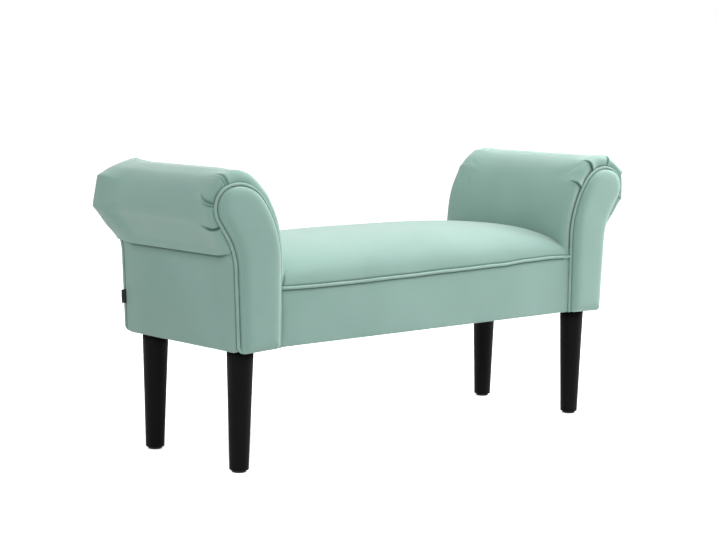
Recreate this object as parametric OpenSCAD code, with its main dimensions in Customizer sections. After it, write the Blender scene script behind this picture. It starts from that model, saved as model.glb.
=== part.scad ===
// Upholstered bench with rolled arms, piped seams and tapered round legs.
// X runs along the bench, the front faces -Y, Z is up. The origin is on the floor under the middle.

/* [Overall] */
// Length over both rolls
bench_length = 1030; // [960:10:1120]
// Depth over the crowned facings
bench_depth = 340; // [320:5:400]
// Height of the body, from its underside to the top of the rolls
body_h = 299; // [280:1:340]

/* [Legs] */
// Height of the body's underside above the floor
leg_height = 211; // [150:1:260]
// Leg diameter at the top
leg_top_d = 46; // [38:1:48]
// Leg diameter at the foot
leg_foot_d = 33; // [26:1:36]
// Leg axis, in from the outer side of the arm
leg_inset_x = 34; // [30:1:42]
// Leg axis, in from the piping line at the front and back
leg_inset_y = 39; // [38:1:50]
// Gap round a leg where it passes the hems and the dust cover
leg_gap = 1; // [0.5:0.5:2]
// Chamfer round the foot of the leg
leg_chamfer = 1.5; // [0.5:0.5:3]
// Thickness of the nail-on pad under a leg
glide_h = 4; // [3:0.5:6]
// Diameter of that pad
glide_d = 25; // [20:1:26]
// Diameter of the pad's nail
glide_nail_d = 2.4; // [1.8:0.2:3]
// Length of the pad's nail
glide_nail_len = 14; // [8:1:20]

/* [Arm outline] */
// Width of the arm at its base, between the piping lines
arm_w = 87; // [80:1:100]
// Height of the scroll's curve, from its start on the inner side to its top
scroll_rise = 136; // [128:1:148]
// Radius of the long curve on the inner side
flare_r = 175; // [165:1:200]
// Radius over the top of the scroll
shoulder_r = 66; // [60:1:72]
// Radius of the scroll's nose
nose_r = 36; // [33:1:42]
// Direction in which the shoulder passes into the nose, above the horizontal
nose_start = 70; // [60:1:80]
// Slope of the straight under the nose, from the vertical
under_slope = 35; // [28:1:40]
// Radius of the hollow under the roll
hollow_r = 110; // [90:1:125]
// Lean of the outer side below the hollow, from the vertical
wall_lean = 3; // [1:0.5:5]
// Direction of the wrap's lower seam in the hollow, below the horizontal
seam_angle = 13.5; // [10:0.5:20]

/* [Arm padding] */
// Padding over the inner side of the arm, cover included
side_pad = 25; // [18:1:30]
// Padding over the crest of the roll
crest_pad = 24.7; // [18:0.1:30]
// Padding where the crest falls away to the nose
brow_pad = 17; // [12:1:20]
// Padding round the nose
nose_pad = 11; // [8:1:16]
// Padding on the nose's lower side, where the roll is fullest
chin_pad = 13; // [8:1:16]
// Padding on the slope under the nose
under_pad = 9; // [6:1:12]
// Padding at the seam with the outer panel
seam_pad = 5; // [4:0.5:8]
// Length over which the wrap draws in to the piping at each end
draw_in = 12; // [12:1:30]
// Thickness of the cover with its wadding
cover_t = 2; // [1.5:0.1:3]

/* [Seams and facings] */
// Diameter of the piping
pipe_d = 5.5; // [4:0.5:7]
// How far the facing stands proud of the piping's middle
facing_crown = 13; // [8:1:16]
// Width of the facing's rounded edge
facing_round = 28; // [18:1:30]
// How far the facing hangs below the body's underside
facing_drop = 3; // [1:0.5:5]
// Thickness of the bands and outer panels outside the frame
band_t = 4; // [3:0.5:6]
// Depth of the bands' turned edge under the frame
hem_w = 18; // [12:1:24]
// Thickness of the turned edge
hem_t = 2; // [1:0.5:3]

/* [Seat] */
// Height of the seat's piping above the body's underside
seat_line = 105; // [95:1:118]
// Rise of the seat's crown above its piping
seat_crown = 66; // [50:1:74]
// Share of the crown lost at the arms
crown_fall = 0.22; // [0.1:0.01:0.35]
// Drop of the cover where it tucks down beside an arm
tuck_drop = 6; // [2:1:9]
// Gap between the seat cover and an arm
seat_gap = 1; // [0.4:0.1:1.2]
// Gap between the foam block and the arm's padding
foam_gap = 2; // [1:0.5:4]

/* [Frame] */
// Thickness of the plywood scroll boards
board_t = 15; // [12:1:18]
// Thickness of the curved skin board
skin_t = 3; // [2:0.5:4]
// Thickness of the seat rails
rail_t = 22; // [18:1:25]
// Thickness of the plywood deck
deck_t = 9; // [6:1:12]
// Distance between the two cross rails
cross_spacing = 240; // [160:10:320]
// Height of the cross rails
cross_h = 40; // [30:1:50]
// Leg of the triangular corner blocks
block_w = 40; // [30:1:44]
// Height of the corner blocks
block_h = 45; // [30:1:60]
// Thickness of the plate that holds the legs
leg_plate_t = 18; // [15:1:21]
// Thickness of the stretchers in the arms
stretcher_t = 20; // [18:1:24]
// Height of the stretchers in the arms
stretcher_h = 46; // [36:1:50]
// Side of the square stretcher in the roll
roll_stretcher = 28; // [22:1:32]
// Thickness of the dust cover
dust_t = 1; // [0.5:0.1:1.5]
// Dust cover's edge, in from the outer faces
dust_inset = 7; // [6:1:16]

/* [Fasteners] */
// Diameter of the arm bolts and the hanger bolts
bolt_d = 8; // [6:1:8]
// Gap round a bolt in its hole
bolt_gap = 0.3; // [0.1:0.1:0.5]
// Distance between the two bolts of an arm
bolt_spacing = 130; // [100:5:140]
// Height of an arm bolt's head
bolt_head_h = 5; // [4:0.5:6]
// Diameter of an arm bolt's head
bolt_head_d = 14; // [12:1:15]
// Diameter of the washers
washer_d = 22; // [18:1:24]
// Thickness of the washers
washer_t = 1.6; // [1:0.2:2]
// Diameter of a T-nut's flange
tnut_d = 22; // [18:1:24]
// Thickness of a T-nut's flange
tnut_flange_t = 1.6; // [1:0.2:2]
// Wall of a T-nut's barrel
tnut_wall = 1.5; // [1:0.1:2]
// Length of a T-nut's barrel
tnut_barrel = 11; // [8:1:14]
// Length of the hanger bolt's screw in the leg
hanger_screw = 40; // [30:1:45]
// Diameter of the hole that the screw fills in the leg
hanger_screw_d = 7; // [5:0.5:7.5]

/* [Tag] */
// Height of the bare tag in the side seam
tag_h = 24; // [18:1:30]
// How far the tag stands out of the seam
tag_out = 9; // [6:1:12]
// Thickness of the folded tape
tag_t = 1.2; // [0.8:0.1:2]
// Height of the tag's lower edge above the body's underside
tag_up = 50; // [30:1:90]

/* [Hidden] */
$fn = 64;

// Colours as the photograph shows them
fabric_colour = [0.62, 0.76, 0.71];
piping_colour = [0.56, 0.71, 0.66];
lacquer_colour = [0.09, 0.09, 0.1];
wood_colour = [0.83, 0.7, 0.5];
board_colour = [0.6, 0.45, 0.3];
foam_colour = [0.95, 0.92, 0.8];
steel_colour = [0.75, 0.75, 0.77];
dark_colour = [0.12, 0.12, 0.13];

// Heights
underside_z = leg_height;
frame_z = underside_z + hem_t;
seat_line_z = underside_z + seat_line;
deck_top_z = seat_line_z - 2 * pipe_d;
deck_z = deck_top_z - deck_t;

// The bolts go through the middle of the arms' lower stretchers
bolt_z = deck_z - stretcher_h / 2;

// How far a cutting shape runs past the face it cuts
over = 1;

// Planes across the depth, measured from the middle to the front or the back
pipe_r = pipe_d / 2;
pipe_y = bench_depth / 2 - facing_crown;
face_y = pipe_y - pipe_r;
rail_y = pipe_y - band_t;

// Directions in which the padding is set, above the horizontal. Between them it changes evenly.
chin_angle = -15;
nose_angle = 15;
brow_angle = 75;
crest_angle = 97;
side_angle = 130;

// The arm's outline, on the right-hand side
shoulder_z = underside_z + body_h - (shoulder_r + crest_pad) * sin(crest_angle);
flare_z = shoulder_z + shoulder_r - scroll_rise;
shoulder_run = flare_r - sqrt(pow(flare_r - shoulder_r, 2) - pow(shoulder_z - flare_z, 2));
nose_run = shoulder_run + (shoulder_r - nose_r) * cos(nose_start);
inner_x = bench_length / 2 - nose_run - nose_r - (nose_pad + chin_pad) / 2;
base_x = inner_x + arm_w;
flare_x = inner_x + flare_r;
shoulder_x = inner_x + shoulder_run;
nose_x = inner_x + nose_run;
nose_z = shoulder_z + (shoulder_r - nose_r) * sin(nose_start);
flare_end = atan2(shoulder_z - flare_z, shoulder_x - flare_x);
slant_x = nose_x + nose_r * cos(under_slope);
slant_z = nose_z - nose_r * sin(under_slope);

// The slope under the nose would meet the leaning side at this distance, if no hollow joined them
slant_reach = (slant_x - base_x - (slant_z - underside_z) * tan(wall_lean))
    / (sin(under_slope) - cos(under_slope) * tan(wall_lean));
slant_len = slant_reach - hollow_r * tan((under_slope - wall_lean) / 2);
hollow_x = slant_x - slant_len * sin(under_slope) + hollow_r * cos(under_slope);
hollow_z = slant_z - slant_len * cos(under_slope) - hollow_r * sin(under_slope);
wall_top_z = hollow_z + hollow_r * sin(wall_lean);

// The outer side at a height, moved outwards by a thickness
function wall_x(z, out = 0) = base_x + (z - underside_z) * tan(wall_lean) + out / cos(wall_lean);

// Layers inside the piping line: the skin board lies under the cover, and the boards under both.
// The seat frame reaches the skin board.
skin_inset = cover_t;
board_inset = cover_t + skin_t;
frame_x = inner_x + skin_inset;
bay_y = face_y - board_t;

// Legs and their plates
leg_x = base_x - leg_inset_x;
leg_y = pipe_y - leg_inset_y;
leg_top_z = frame_z;
plate_top_z = frame_z + leg_plate_t;

// A station is [x, z, outward x, outward z, padding]
pad_table = [[-under_slope, under_pad], [chin_angle, chin_pad], [nose_angle, nose_pad],
    [brow_angle, brow_pad], [crest_angle, crest_pad], [side_angle, side_pad], [180, side_pad]];

function arc_station(x, z, r, a) =
    [x + r * cos(a), z + r * sin(a), cos(a), sin(a), lookup(a, pad_table)];

function arc_stations(x, z, r, from, to, steps, first = 0) =
    [for (k = [first : steps]) arc_station(x, z, r, from + (to - from) * k / steps)];

// The hollow curves the other way, so its stations face away from its centre
function hollow_stations(from, to, steps, first = 0) =
    [for (k = [first : steps])
        let (a = from + (to - from) * k / steps,
            share = (under_slope - a) / (under_slope - seam_angle))
        [hollow_x - hollow_r * cos(a), hollow_z + hollow_r * sin(a), cos(a), -sin(a),
            under_pad + (seam_pad - under_pad) * share]];

function inner_wall(low_z, steps) =
    [for (k = [0 : steps - 1])
        [inner_x, low_z + (flare_z - low_z) * k / steps, -1, 0, side_pad]];

function outer_wall(low_z, steps) =
    [for (k = [1 : steps])
        let (z = wall_top_z + (low_z - wall_top_z) * k / steps)
        [wall_x(z), z, 1 / cos(wall_lean), 0, seam_pad]];

// Steps along each stretch of the outline. A closed ring needs an even number of stations.
flare_steps = 7;
shoulder_steps = 4;
crest_steps = 2;
nose_steps = 5;
slant_steps = 3;
upper_hollow_steps = 5;
lower_hollow_steps = 3;
inner_steps = 3;
outer_steps = 6;

over_the_top = concat(
    arc_stations(flare_x, flare_z, flare_r, 180, flare_end, flare_steps),
    arc_stations(shoulder_x, shoulder_z, shoulder_r, flare_end, crest_angle, shoulder_steps, 1),
    arc_stations(shoulder_x, shoulder_z, shoulder_r, crest_angle, nose_start, crest_steps, 1),
    arc_stations(nose_x, nose_z, nose_r, nose_start, nose_angle, nose_steps, 1));
under_the_nose = concat(
    arc_stations(nose_x, nose_z, nose_r, nose_angle, -under_slope, nose_steps, 1),
    [for (k = [1 : slant_steps - 1])
        [slant_x - slant_len * sin(under_slope) * k / slant_steps,
            slant_z - slant_len * cos(under_slope) * k / slant_steps,
            cos(under_slope), -sin(under_slope), under_pad]]);

// The whole outline down to a height, and the part of it that the padded wrap covers
function full_outline(low_z) = concat(
    inner_wall(low_z, inner_steps), over_the_top, under_the_nose,
    hollow_stations(under_slope, seam_angle, upper_hollow_steps),
    hollow_stations(seam_angle, wall_lean, lower_hollow_steps, 1),
    outer_wall(low_z, outer_steps));
wrap_outline = concat(
    inner_wall(deck_top_z, 1), over_the_top, under_the_nose,
    hollow_stations(under_slope, seam_angle, upper_hollow_steps));
panel_outline = concat(
    hollow_stations(seam_angle, wall_lean, lower_hollow_steps), outer_wall(underside_z, 1));

// A path of [x, z] points at a set distance out from the stations, or at a share of the padding
function offset_path(stations, out, share = 0) =
    [for (s = stations) [s[0] + s[2] * (out + share * s[4]), s[1] + s[3] * (out + share * s[4])]];

// The closed outline with every side moved in, its lower edge as well
function inset_outline(low_z, inset) = offset_path(full_outline(low_z + inset), -inset);

function reversed(list) = [for (k = [len(list) - 1 : -1 : 0]) list[k]];

// Between closed rings of equal length, two triangles for each side
function ring_faces(rings, sides) =
    [for (k = [0 : rings - 2], i = [0 : sides - 1])
        let (j = (i + 1) % sides, a = k * sides, b = a + sides)
        each [[a + i, b + i, b + j], [a + i, b + j, a + j]]];

// Closes a ring whose first half runs out and whose second half runs back beside it
function ladder_faces(start, sides, flip) =
    [for (i = [0 : sides / 2 - 2])
        let (a = start + i, b = start + i + 1, c = start + sides - 2 - i, d = start + sides - 1 - i)
        each (flip ? [[a, b, c], [a, c, d]] : [[a, c, b], [a, d, c]])];

// A solid through closed rings, each made of an outer path followed by the inner path reversed
module strip_loft(rings) {
    sides = len(rings[0]);
    polyhedron(
        points = [for (r = rings) each r],
        faces = concat(
            ladder_faces(0, sides, true),
            ring_faces(len(rings), sides),
            ladder_faces((len(rings) - 1) * sides, sides, false)),
        convexity = 8);
}

// Puts a flat shape drawn in X and Z into an upright slab between two planes across the depth
module upright(from_y, to_y) {
    translate([0, to_y, 0]) rotate([90, 0, 0]) linear_extrude(to_y - from_y) children();
}

// Both arms use the right-hand shapes, and both faces the front ones
module for_side(side) {
    if (side < 0) mirror([1, 0, 0]) children();
    else children();
}

module for_face(face) {
    if (face > 0) mirror([0, 1, 0]) children();
    else children();
}

// The area inside the arm's outline, moved in by a set distance
module arm_area(inset, low_z) {
    polygon(inset_outline(low_z, inset));
}

// Seat frame

module seat_long_rail(face) {
    color(wood_colour) for_face(face)
        translate([-frame_x, -rail_y, frame_z])
            cube([2 * frame_x, rail_t, deck_z - frame_z]);
}

// The bolt's head and washer bear on the end rail, and its nut on the arm's stretcher
bolt_head_x = frame_x - rail_t;
bolt_nut_x = inner_x + board_inset + stretcher_t;

module bolt_holes() {
    for (s = [-1, 1])
        translate([0, s * bolt_spacing / 2, bolt_z]) rotate([0, 90, 0]) {
            cylinder(h = bolt_nut_x + over, d = bolt_d + 2 * bolt_gap);
            translate([0, 0, bolt_nut_x - tnut_barrel])
                cylinder(h = tnut_barrel + over, d = bolt_d + 2 * tnut_wall + 2 * bolt_gap);
        }
}

module seat_end_rail(side) {
    color(wood_colour) for_side(side) difference() {
        translate([frame_x - rail_t, -rail_y + rail_t, frame_z])
            cube([rail_t, 2 * (rail_y - rail_t), deck_z - frame_z]);
        bolt_holes();
    }
}

module seat_cross_rails() {
    color(wood_colour) for (s = [-1, 1])
        translate([s * cross_spacing / 2 - rail_t / 2, -rail_y + rail_t, deck_z - cross_h])
            cube([rail_t, 2 * (rail_y - rail_t), cross_h]);
}

module seat_corner_blocks() {
    color(wood_colour) for (side = [-1, 1], face = [-1, 1])
        for_side(side) for_face(face)
            translate([frame_x - rail_t, -rail_y + rail_t, deck_z - block_h])
                linear_extrude(block_h) polygon([[0, 0], [-block_w, 0], [0, block_w]]);
}

module seat_deck() {
    color(board_colour)
        translate([-frame_x, -rail_y, deck_z]) cube([2 * frame_x, 2 * rail_y, deck_t]);
}

// Seat padding. A dome profile is a superellipse, which rises steeply at the edge.

dome_steps = 22;
dome_power = 2 / 3;
function dome_y(reach, k) =
    let (c = cos(180 * k / dome_steps)) -reach * sign(c) * pow(abs(c), dome_power);
function dome_z(base, rise, k) = base + rise * pow(abs(sin(180 * k / dome_steps)), dome_power);

// Slack between a cover and what lies behind it
slack = 1;
edge_y = rail_y - slack;
foam_rise = seat_crown * (1 - crown_fall) - tuck_drop - 2 * cover_t;
foam_path = [for (k = [0 : dome_steps])
    [dome_y(edge_y - cover_t, k), dome_z(seat_line_z, foam_rise, k)]];

module seat_foam() {
    foam_x = inner_x - side_pad - foam_gap;
    color(foam_colour)
        translate([-foam_x, 0, 0]) rotate([90, 0, 90]) linear_extrude(2 * foam_x)
            polygon(concat([[-edge_y + cover_t, deck_top_z]], foam_path,
                [[edge_y - cover_t, deck_top_z]]));
}

// How full the wrap is at a place across the depth: 1 in the middle, 0 at the piping
full_y = face_y - draw_in;
function wrap_share(y) =
    abs(y) <= full_y ? 1 : sqrt(max(0, 1 - pow((abs(y) - full_y) / draw_in, 2)));

// The seat's end follows the wall of the arm, which draws in to the piping at the corners
function seat_end_x(y) = inner_x - seat_gap - max(pipe_r, side_pad * wrap_share(y));

// The crown falls towards the arms, and a last little way drops faster where it tucks down
tuck_start = 0.9;
tuck_power = 2;
fall_power = 3;
function seat_rise(s) =
    seat_crown * (1 - crown_fall * pow(abs(s), fall_power))
    - tuck_drop * pow(max(0, (abs(s) - tuck_start) / (1 - tuck_start)), tuck_power);

// A point of the cover at a share of the way from the middle to the arm
function seat_point(s, y, z) = [s * seat_end_x(y), y, z];

function cover_ring(s) =
    let (outer = concat(
            [[-edge_y, deck_top_z], [-edge_y, seat_line_z + pipe_r]],
            [for (k = [0 : dome_steps])
                [dome_y(pipe_y, k), dome_z(seat_line_z + pipe_r, seat_rise(s) - pipe_r, k)]],
            [[edge_y, seat_line_z + pipe_r], [edge_y, deck_top_z]]),
        inner = concat(
            [[-edge_y + cover_t, deck_top_z], [-edge_y + cover_t, seat_line_z - pipe_r]],
            foam_path,
            [[edge_y - cover_t, seat_line_z - pipe_r], [edge_y - cover_t, deck_top_z]]))
    [for (p = concat(outer, reversed(inner))) seat_point(s, p[0], p[1])];

cover_stops = [0, 0.35, 0.65, 0.85, 0.95, 1];

module seat_cover() {
    color(fabric_colour) strip_loft(concat(
        [for (s = reversed(cover_stops)) cover_ring(s)],
        [for (s = cover_stops) if (s > 0) cover_ring(-s)]));
}

// Seat bands and piping

module seat_band(face) {
    band_x = inner_x - pipe_r;
    top_z = seat_line_z - pipe_r;
    color(fabric_colour) for_face(face)
        translate([-band_x, 0, 0]) rotate([90, 0, 90]) linear_extrude(2 * band_x)
            polygon([[-pipe_y, underside_z], [-rail_y + hem_w, underside_z],
                [-rail_y + hem_w, frame_z], [-rail_y, frame_z], [-rail_y, top_z],
                [-pipe_y, top_z]]);
}

module seat_piping(face) {
    piping_x = inner_x - pipe_r;
    color(piping_colour) for_face(face)
        translate([-piping_x, -pipe_y, seat_line_z])
            rotate([0, 90, 0]) cylinder(h = 2 * piping_x, r = pipe_r);
}

module dust_cover() {
    color(dark_colour) difference() {
        translate([-base_x + dust_inset, -face_y + dust_inset, underside_z - dust_t])
            cube([2 * (base_x - dust_inset), 2 * (face_y - dust_inset), dust_t]);
        for (side = [-1, 1], face = [-1, 1])
            translate([side * leg_x, face * leg_y, underside_z - 2 * dust_t])
                cylinder(h = 3 * dust_t, d = leg_top_d + 2 * leg_gap);
    }
}

// Arm frame

module arm_board(side, face) {
    color(wood_colour) for_side(side) for_face(face)
        upright(-face_y, -bay_y) arm_area(board_inset, frame_z - board_inset);
}

module arm_stretchers(side) {
    inner_face = inner_x + board_inset;
    outer_face = wall_x(hollow_z - stretcher_h, -board_inset);
    color(wood_colour) for_side(side) difference() {
        union() {
            translate([inner_face, -bay_y, deck_z - stretcher_h])
                cube([stretcher_t, 2 * bay_y, stretcher_h]);
            translate([outer_face - stretcher_t, -bay_y, hollow_z - stretcher_h])
                cube([stretcher_t, 2 * bay_y, stretcher_h]);
            translate([nose_x - roll_stretcher / 2, -bay_y, nose_z - roll_stretcher / 2])
                cube([roll_stretcher, 2 * bay_y, roll_stretcher]);
        }
        bolt_holes();
    }
}

module arm_leg_plate(side) {
    color(wood_colour) for_side(side) difference() {
        translate([inner_x + board_inset, -bay_y, frame_z])
            cube([arm_w - 2 * board_inset, 2 * bay_y, leg_plate_t]);
        for (face = [-1, 1])
            translate([leg_x, face * leg_y, frame_z - over])
                cylinder(h = leg_plate_t + 2 * over, d = bolt_d + 2 * tnut_wall + 2 * bolt_gap);
    }
}

module arm_skin_board(side) {
    color(board_colour) for_side(side) difference() {
        upright(-face_y, face_y) difference() {
            arm_area(skin_inset, frame_z - skin_inset);
            arm_area(board_inset, frame_z - 2 * board_inset);
        }
        bolt_holes();
    }
}

module arm_foam(side) {
    foam_y = full_y - slack;
    color(foam_colour) for_side(side)
        upright(-foam_y, foam_y)
            polygon(concat(offset_path(wrap_outline, -cover_t, 1),
                reversed(offset_path(wrap_outline, -skin_inset))));
}

// Arm upholstery. The wrap is full along the middle and draws in to the piping at both ends.

function wrap_ring(y, share, hollow) = [for (p = concat(
        offset_path(wrap_outline, 0, share),
        reversed(hollow ? offset_path(wrap_outline, -cover_t, 1)
            : offset_path(wrap_outline, -skin_inset)))) [p[0], y, p[1]]];

draw_steps = [90, 68, 45, 22, 0];

// The length over which the solid ends pass into the thin shell
end_lap = 0.5;

module arm_cover(side) {
    end_rings = [for (a = draw_steps) [full_y + draw_in * sin(a), cos(a)]];
    color(fabric_colour) for_side(side) strip_loft(concat(
        [for (e = end_rings) wrap_ring(-e[0], e[1], false)],
        [wrap_ring(-full_y + end_lap, 1, true), wrap_ring(full_y - end_lap, 1, true)],
        [for (e = reversed(end_rings)) wrap_ring(e[0], e[1], false)]));
}

// The flat panel under the wrap's seam. Its hem turns under the frame and is cut out round the legs.
module arm_outer_panel(side) {
    path = offset_path(panel_outline, band_t - skin_inset);
    back = offset_path(panel_outline, -skin_inset);
    hem_x = base_x - skin_inset - hem_w;
    color(fabric_colour) for_side(side) difference() {
        upright(-face_y, face_y)
            polygon(concat(path, [[hem_x, underside_z], [hem_x, frame_z],
                [wall_x(frame_z, -skin_inset), frame_z]],
                [for (k = [len(back) - 2 : -1 : 0]) back[k]]));
        for (face = [-1, 1])
            translate([leg_x, face * leg_y, underside_z - over])
                cylinder(h = hem_t + 2 * over, d = leg_top_d + 2 * leg_gap);
    }
}

// The facing is a flat pad with a crowned face, inside the piping
facing_low_z = underside_z - facing_drop - pipe_r;
round_w = min(facing_round, nose_r - pipe_d);
crown_steps = [0, 18, 36, 54, 72, 90];

// Below 1, the crown rises more steeply at its edge than a quarter ellipse
crown_power = 0.8;

function facing_ring(inset, y) =
    [for (p = inset_outline(facing_low_z, inset)) [p[0], y, p[1]]];

module arm_facing(side, face) {
    crown_y = bench_depth / 2 - pipe_y;
    color(fabric_colour) for_side(side) for_face(face)
        strip_loft(reversed(concat([facing_ring(pipe_r, -face_y)],
            [for (a = crown_steps)
                facing_ring(pipe_r + round_w * (1 - pow(cos(a), crown_power)),
                    -pipe_y - crown_y * pow(sin(a), crown_power))])));
}

// The piping follows the same outline. Each ring of the tube lies across its station.

pipe_sides = 8;

function pipe_ring(s) = [for (k = [0 : pipe_sides - 1])
    let (a = 360 * k / pipe_sides, out = pipe_r * cos(a))
    [s[0] + s[2] * out, -pipe_y + pipe_r * sin(a), s[1] + s[3] * out]];

module arm_piping(side, face) {
    path = full_outline(underside_z - facing_drop / 2);
    color(piping_colour) for_side(side) for_face(face)
        strip_loft([for (s = path) pipe_ring(s)]);
}

// Legs. Each hangs on a bolt that is screwed into it and turns into a nut in the leg plate.

module at_each_leg() {
    for (side = [-1, 1], face = [-1, 1])
        translate([side * leg_x, face * leg_y, 0]) children();
}

module leg(side, face) {
    foot_r = leg_foot_d / 2;
    color(lacquer_colour) translate([side * leg_x, face * leg_y, 0]) difference() {
        rotate_extrude() polygon([[0, glide_h], [foot_r - leg_chamfer, glide_h],
            [foot_r, glide_h + leg_chamfer], [leg_top_d / 2, leg_top_z], [0, leg_top_z]]);
        translate([0, 0, leg_top_z - hanger_screw])
            cylinder(h = hanger_screw + over, d = hanger_screw_d);
        translate([0, 0, glide_h - over]) cylinder(h = glide_nail_len + over, d = glide_nail_d);
    }
}

module leg_hanger_bolts() {
    color(steel_colour) at_each_leg() {
        translate([0, 0, leg_top_z - hanger_screw])
            cylinder(h = hanger_screw, d = hanger_screw_d);
        translate([0, 0, leg_top_z]) cylinder(h = leg_plate_t + 2 * tnut_flange_t, d = bolt_d);
    }
}

// Left between a bolt and the thread it turns in, which is drawn as a plain hole
thread_fit = 0.03;

module t_nut() {
    difference() {
        union() {
            cylinder(h = tnut_flange_t, d = tnut_d);
            translate([0, 0, -tnut_barrel]) cylinder(h = tnut_barrel, d = bolt_d + 2 * tnut_wall);
        }
        translate([0, 0, -tnut_barrel - over])
            cylinder(h = tnut_barrel + tnut_flange_t + 2 * over, d = bolt_d + thread_fit);
    }
}

module leg_t_nuts() {
    color(steel_colour) at_each_leg() translate([0, 0, plate_top_z]) t_nut();
}

module leg_glides() {
    color(dark_colour) at_each_leg() {
        cylinder(h = glide_h, d = glide_d);
        translate([0, 0, glide_h]) cylinder(h = glide_nail_len, d = glide_nail_d);
    }
}

// Arm bolts, with a washer under the head and a T-nut on the far side of the arm's stretcher

module at_each_arm_bolt(x) {
    for (side = [-1, 1], s = [-1, 1])
        for_side(side) translate([x, s * bolt_spacing / 2, bolt_z]) rotate([0, 90, 0]) children();
}

module arm_bolts() {
    reach = bolt_nut_x + 2 * tnut_flange_t - bolt_head_x + washer_t;
    color(steel_colour) at_each_arm_bolt(bolt_head_x - washer_t) {
        cylinder(h = reach, d = bolt_d);
        translate([0, 0, -bolt_head_h]) cylinder(h = bolt_head_h, d = bolt_head_d);
    }
}

module arm_washers() {
    color(steel_colour) at_each_arm_bolt(bolt_head_x - washer_t) difference() {
        cylinder(h = washer_t, d = washer_d);
        translate([0, 0, -over]) cylinder(h = washer_t + 2 * over, d = bolt_d + 2 * bolt_gap);
    }
}

module arm_t_nuts() {
    color(steel_colour) at_each_arm_bolt(bolt_nut_x) t_nut();
}

// A bare folded tape in the seam between the left arm's outer panel and its rear piping
module side_tag() {
    tag_z = underside_z + tag_up;
    color(dark_colour) for_side(-1)
        translate([wall_x(tag_z, band_t - skin_inset), face_y - tag_t, tag_z])
            rotate([0, wall_lean, 0]) cube([tag_out, tag_t, tag_h]);
}

seat_long_rail(-1);  // seat_front_rail
seat_long_rail(1);  // seat_rear_rail
seat_end_rail(-1);  // seat_left_end_rail
seat_end_rail(1);  // seat_right_end_rail
seat_cross_rails();
seat_corner_blocks();
seat_deck();
seat_foam();
seat_cover();
seat_band(-1);  // seat_front_band
seat_band(1);  // seat_rear_band
seat_piping(-1);  // seat_front_piping
seat_piping(1);  // seat_rear_piping
dust_cover();
arm_board(-1, -1);  // left_arm_front_board
arm_board(-1, 1);  // left_arm_rear_board
arm_stretchers(-1);  // left_arm_stretchers
arm_leg_plate(-1);  // left_arm_leg_plate
arm_skin_board(-1);  // left_arm_skin_board
arm_foam(-1);  // left_arm_foam
arm_cover(-1);  // left_arm_cover
arm_outer_panel(-1);  // left_arm_outer_panel
arm_facing(-1, -1);  // left_arm_front_facing
arm_facing(-1, 1);  // left_arm_rear_facing
arm_piping(-1, -1);  // left_arm_front_piping
arm_piping(-1, 1);  // left_arm_rear_piping
arm_board(1, -1);  // right_arm_front_board
arm_board(1, 1);  // right_arm_rear_board
arm_stretchers(1);  // right_arm_stretchers
arm_leg_plate(1);  // right_arm_leg_plate
arm_skin_board(1);  // right_arm_skin_board
arm_foam(1);  // right_arm_foam
arm_cover(1);  // right_arm_cover
arm_outer_panel(1);  // right_arm_outer_panel
arm_facing(1, -1);  // right_arm_front_facing
arm_facing(1, 1);  // right_arm_rear_facing
arm_piping(1, -1);  // right_arm_front_piping
arm_piping(1, 1);  // right_arm_rear_piping
arm_bolts();
arm_washers();
arm_t_nuts();
leg(-1, -1);  // front_left_leg
leg(1, -1);  // front_right_leg
leg(-1, 1);  // rear_left_leg
leg(1, 1);  // rear_right_leg
leg_hanger_bolts();
leg_t_nuts();
leg_glides();
side_tag();
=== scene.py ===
"""An upholstered bench with rolled arms, piped seams and tapered black legs, over its frame."""
import logging
import math
from dataclasses import dataclass, field
from enum import Enum
from itertools import accumulate, product
from typing import Callable, NamedTuple, Sequence

import bmesh
import bpy
from mathutils import Matrix, Vector, noise


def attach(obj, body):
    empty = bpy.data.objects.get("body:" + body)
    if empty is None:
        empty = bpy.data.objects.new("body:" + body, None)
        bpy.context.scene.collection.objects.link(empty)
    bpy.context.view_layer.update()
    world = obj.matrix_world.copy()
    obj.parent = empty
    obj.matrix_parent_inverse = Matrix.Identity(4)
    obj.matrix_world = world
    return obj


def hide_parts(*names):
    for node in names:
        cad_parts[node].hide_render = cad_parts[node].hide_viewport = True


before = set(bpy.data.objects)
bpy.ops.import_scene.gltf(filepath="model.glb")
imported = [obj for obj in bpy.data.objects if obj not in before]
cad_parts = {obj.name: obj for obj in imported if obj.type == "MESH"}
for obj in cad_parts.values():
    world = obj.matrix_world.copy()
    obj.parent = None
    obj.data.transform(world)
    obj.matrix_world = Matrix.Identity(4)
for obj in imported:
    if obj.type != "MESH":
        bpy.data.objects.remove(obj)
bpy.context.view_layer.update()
log = logging.getLogger("bench")

Pair = tuple[float, float]
Triple = tuple[float, float, float]
Place = Callable[[float, float], Vector]
Socket = bpy.types.NodeSocket
Sockets = tuple[Socket, Socket]


class Half(Enum):
    """One of two mirrored places, at -1 or 1 along an axis."""

    @classmethod
    def of(cls, place: float) -> "Half":
        """Gives the member on whose side of the middle a place lies."""
        return cls(-1 if place < 0 else 1)

    @property
    def label(self) -> str:
        """The member's name as the pieces' names have it."""
        return self.name.lower()


class Side(Half):
    """An arm of the bench, seen from the front."""

    LEFT = -1
    RIGHT = 1


class Face(Half):
    """A long side of the bench."""

    FRONT = -1
    REAR = 1


def linear(colour: Triple) -> tuple[float, float, float, float]:
    """Turns a colour as a screen shows it into the renderer's own values, with an alpha of 1.

    Args:
        colour: red, green and blue, each from 0 to 1.

    Returns:
        Red, green, blue and alpha.
    """
    red, green, blue = (
        c / 12.92 if c <= 0.04045 else ((c + 0.055) / 1.055) ** 2.4 for c in colour)
    return red, green, blue, 1.0


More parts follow.
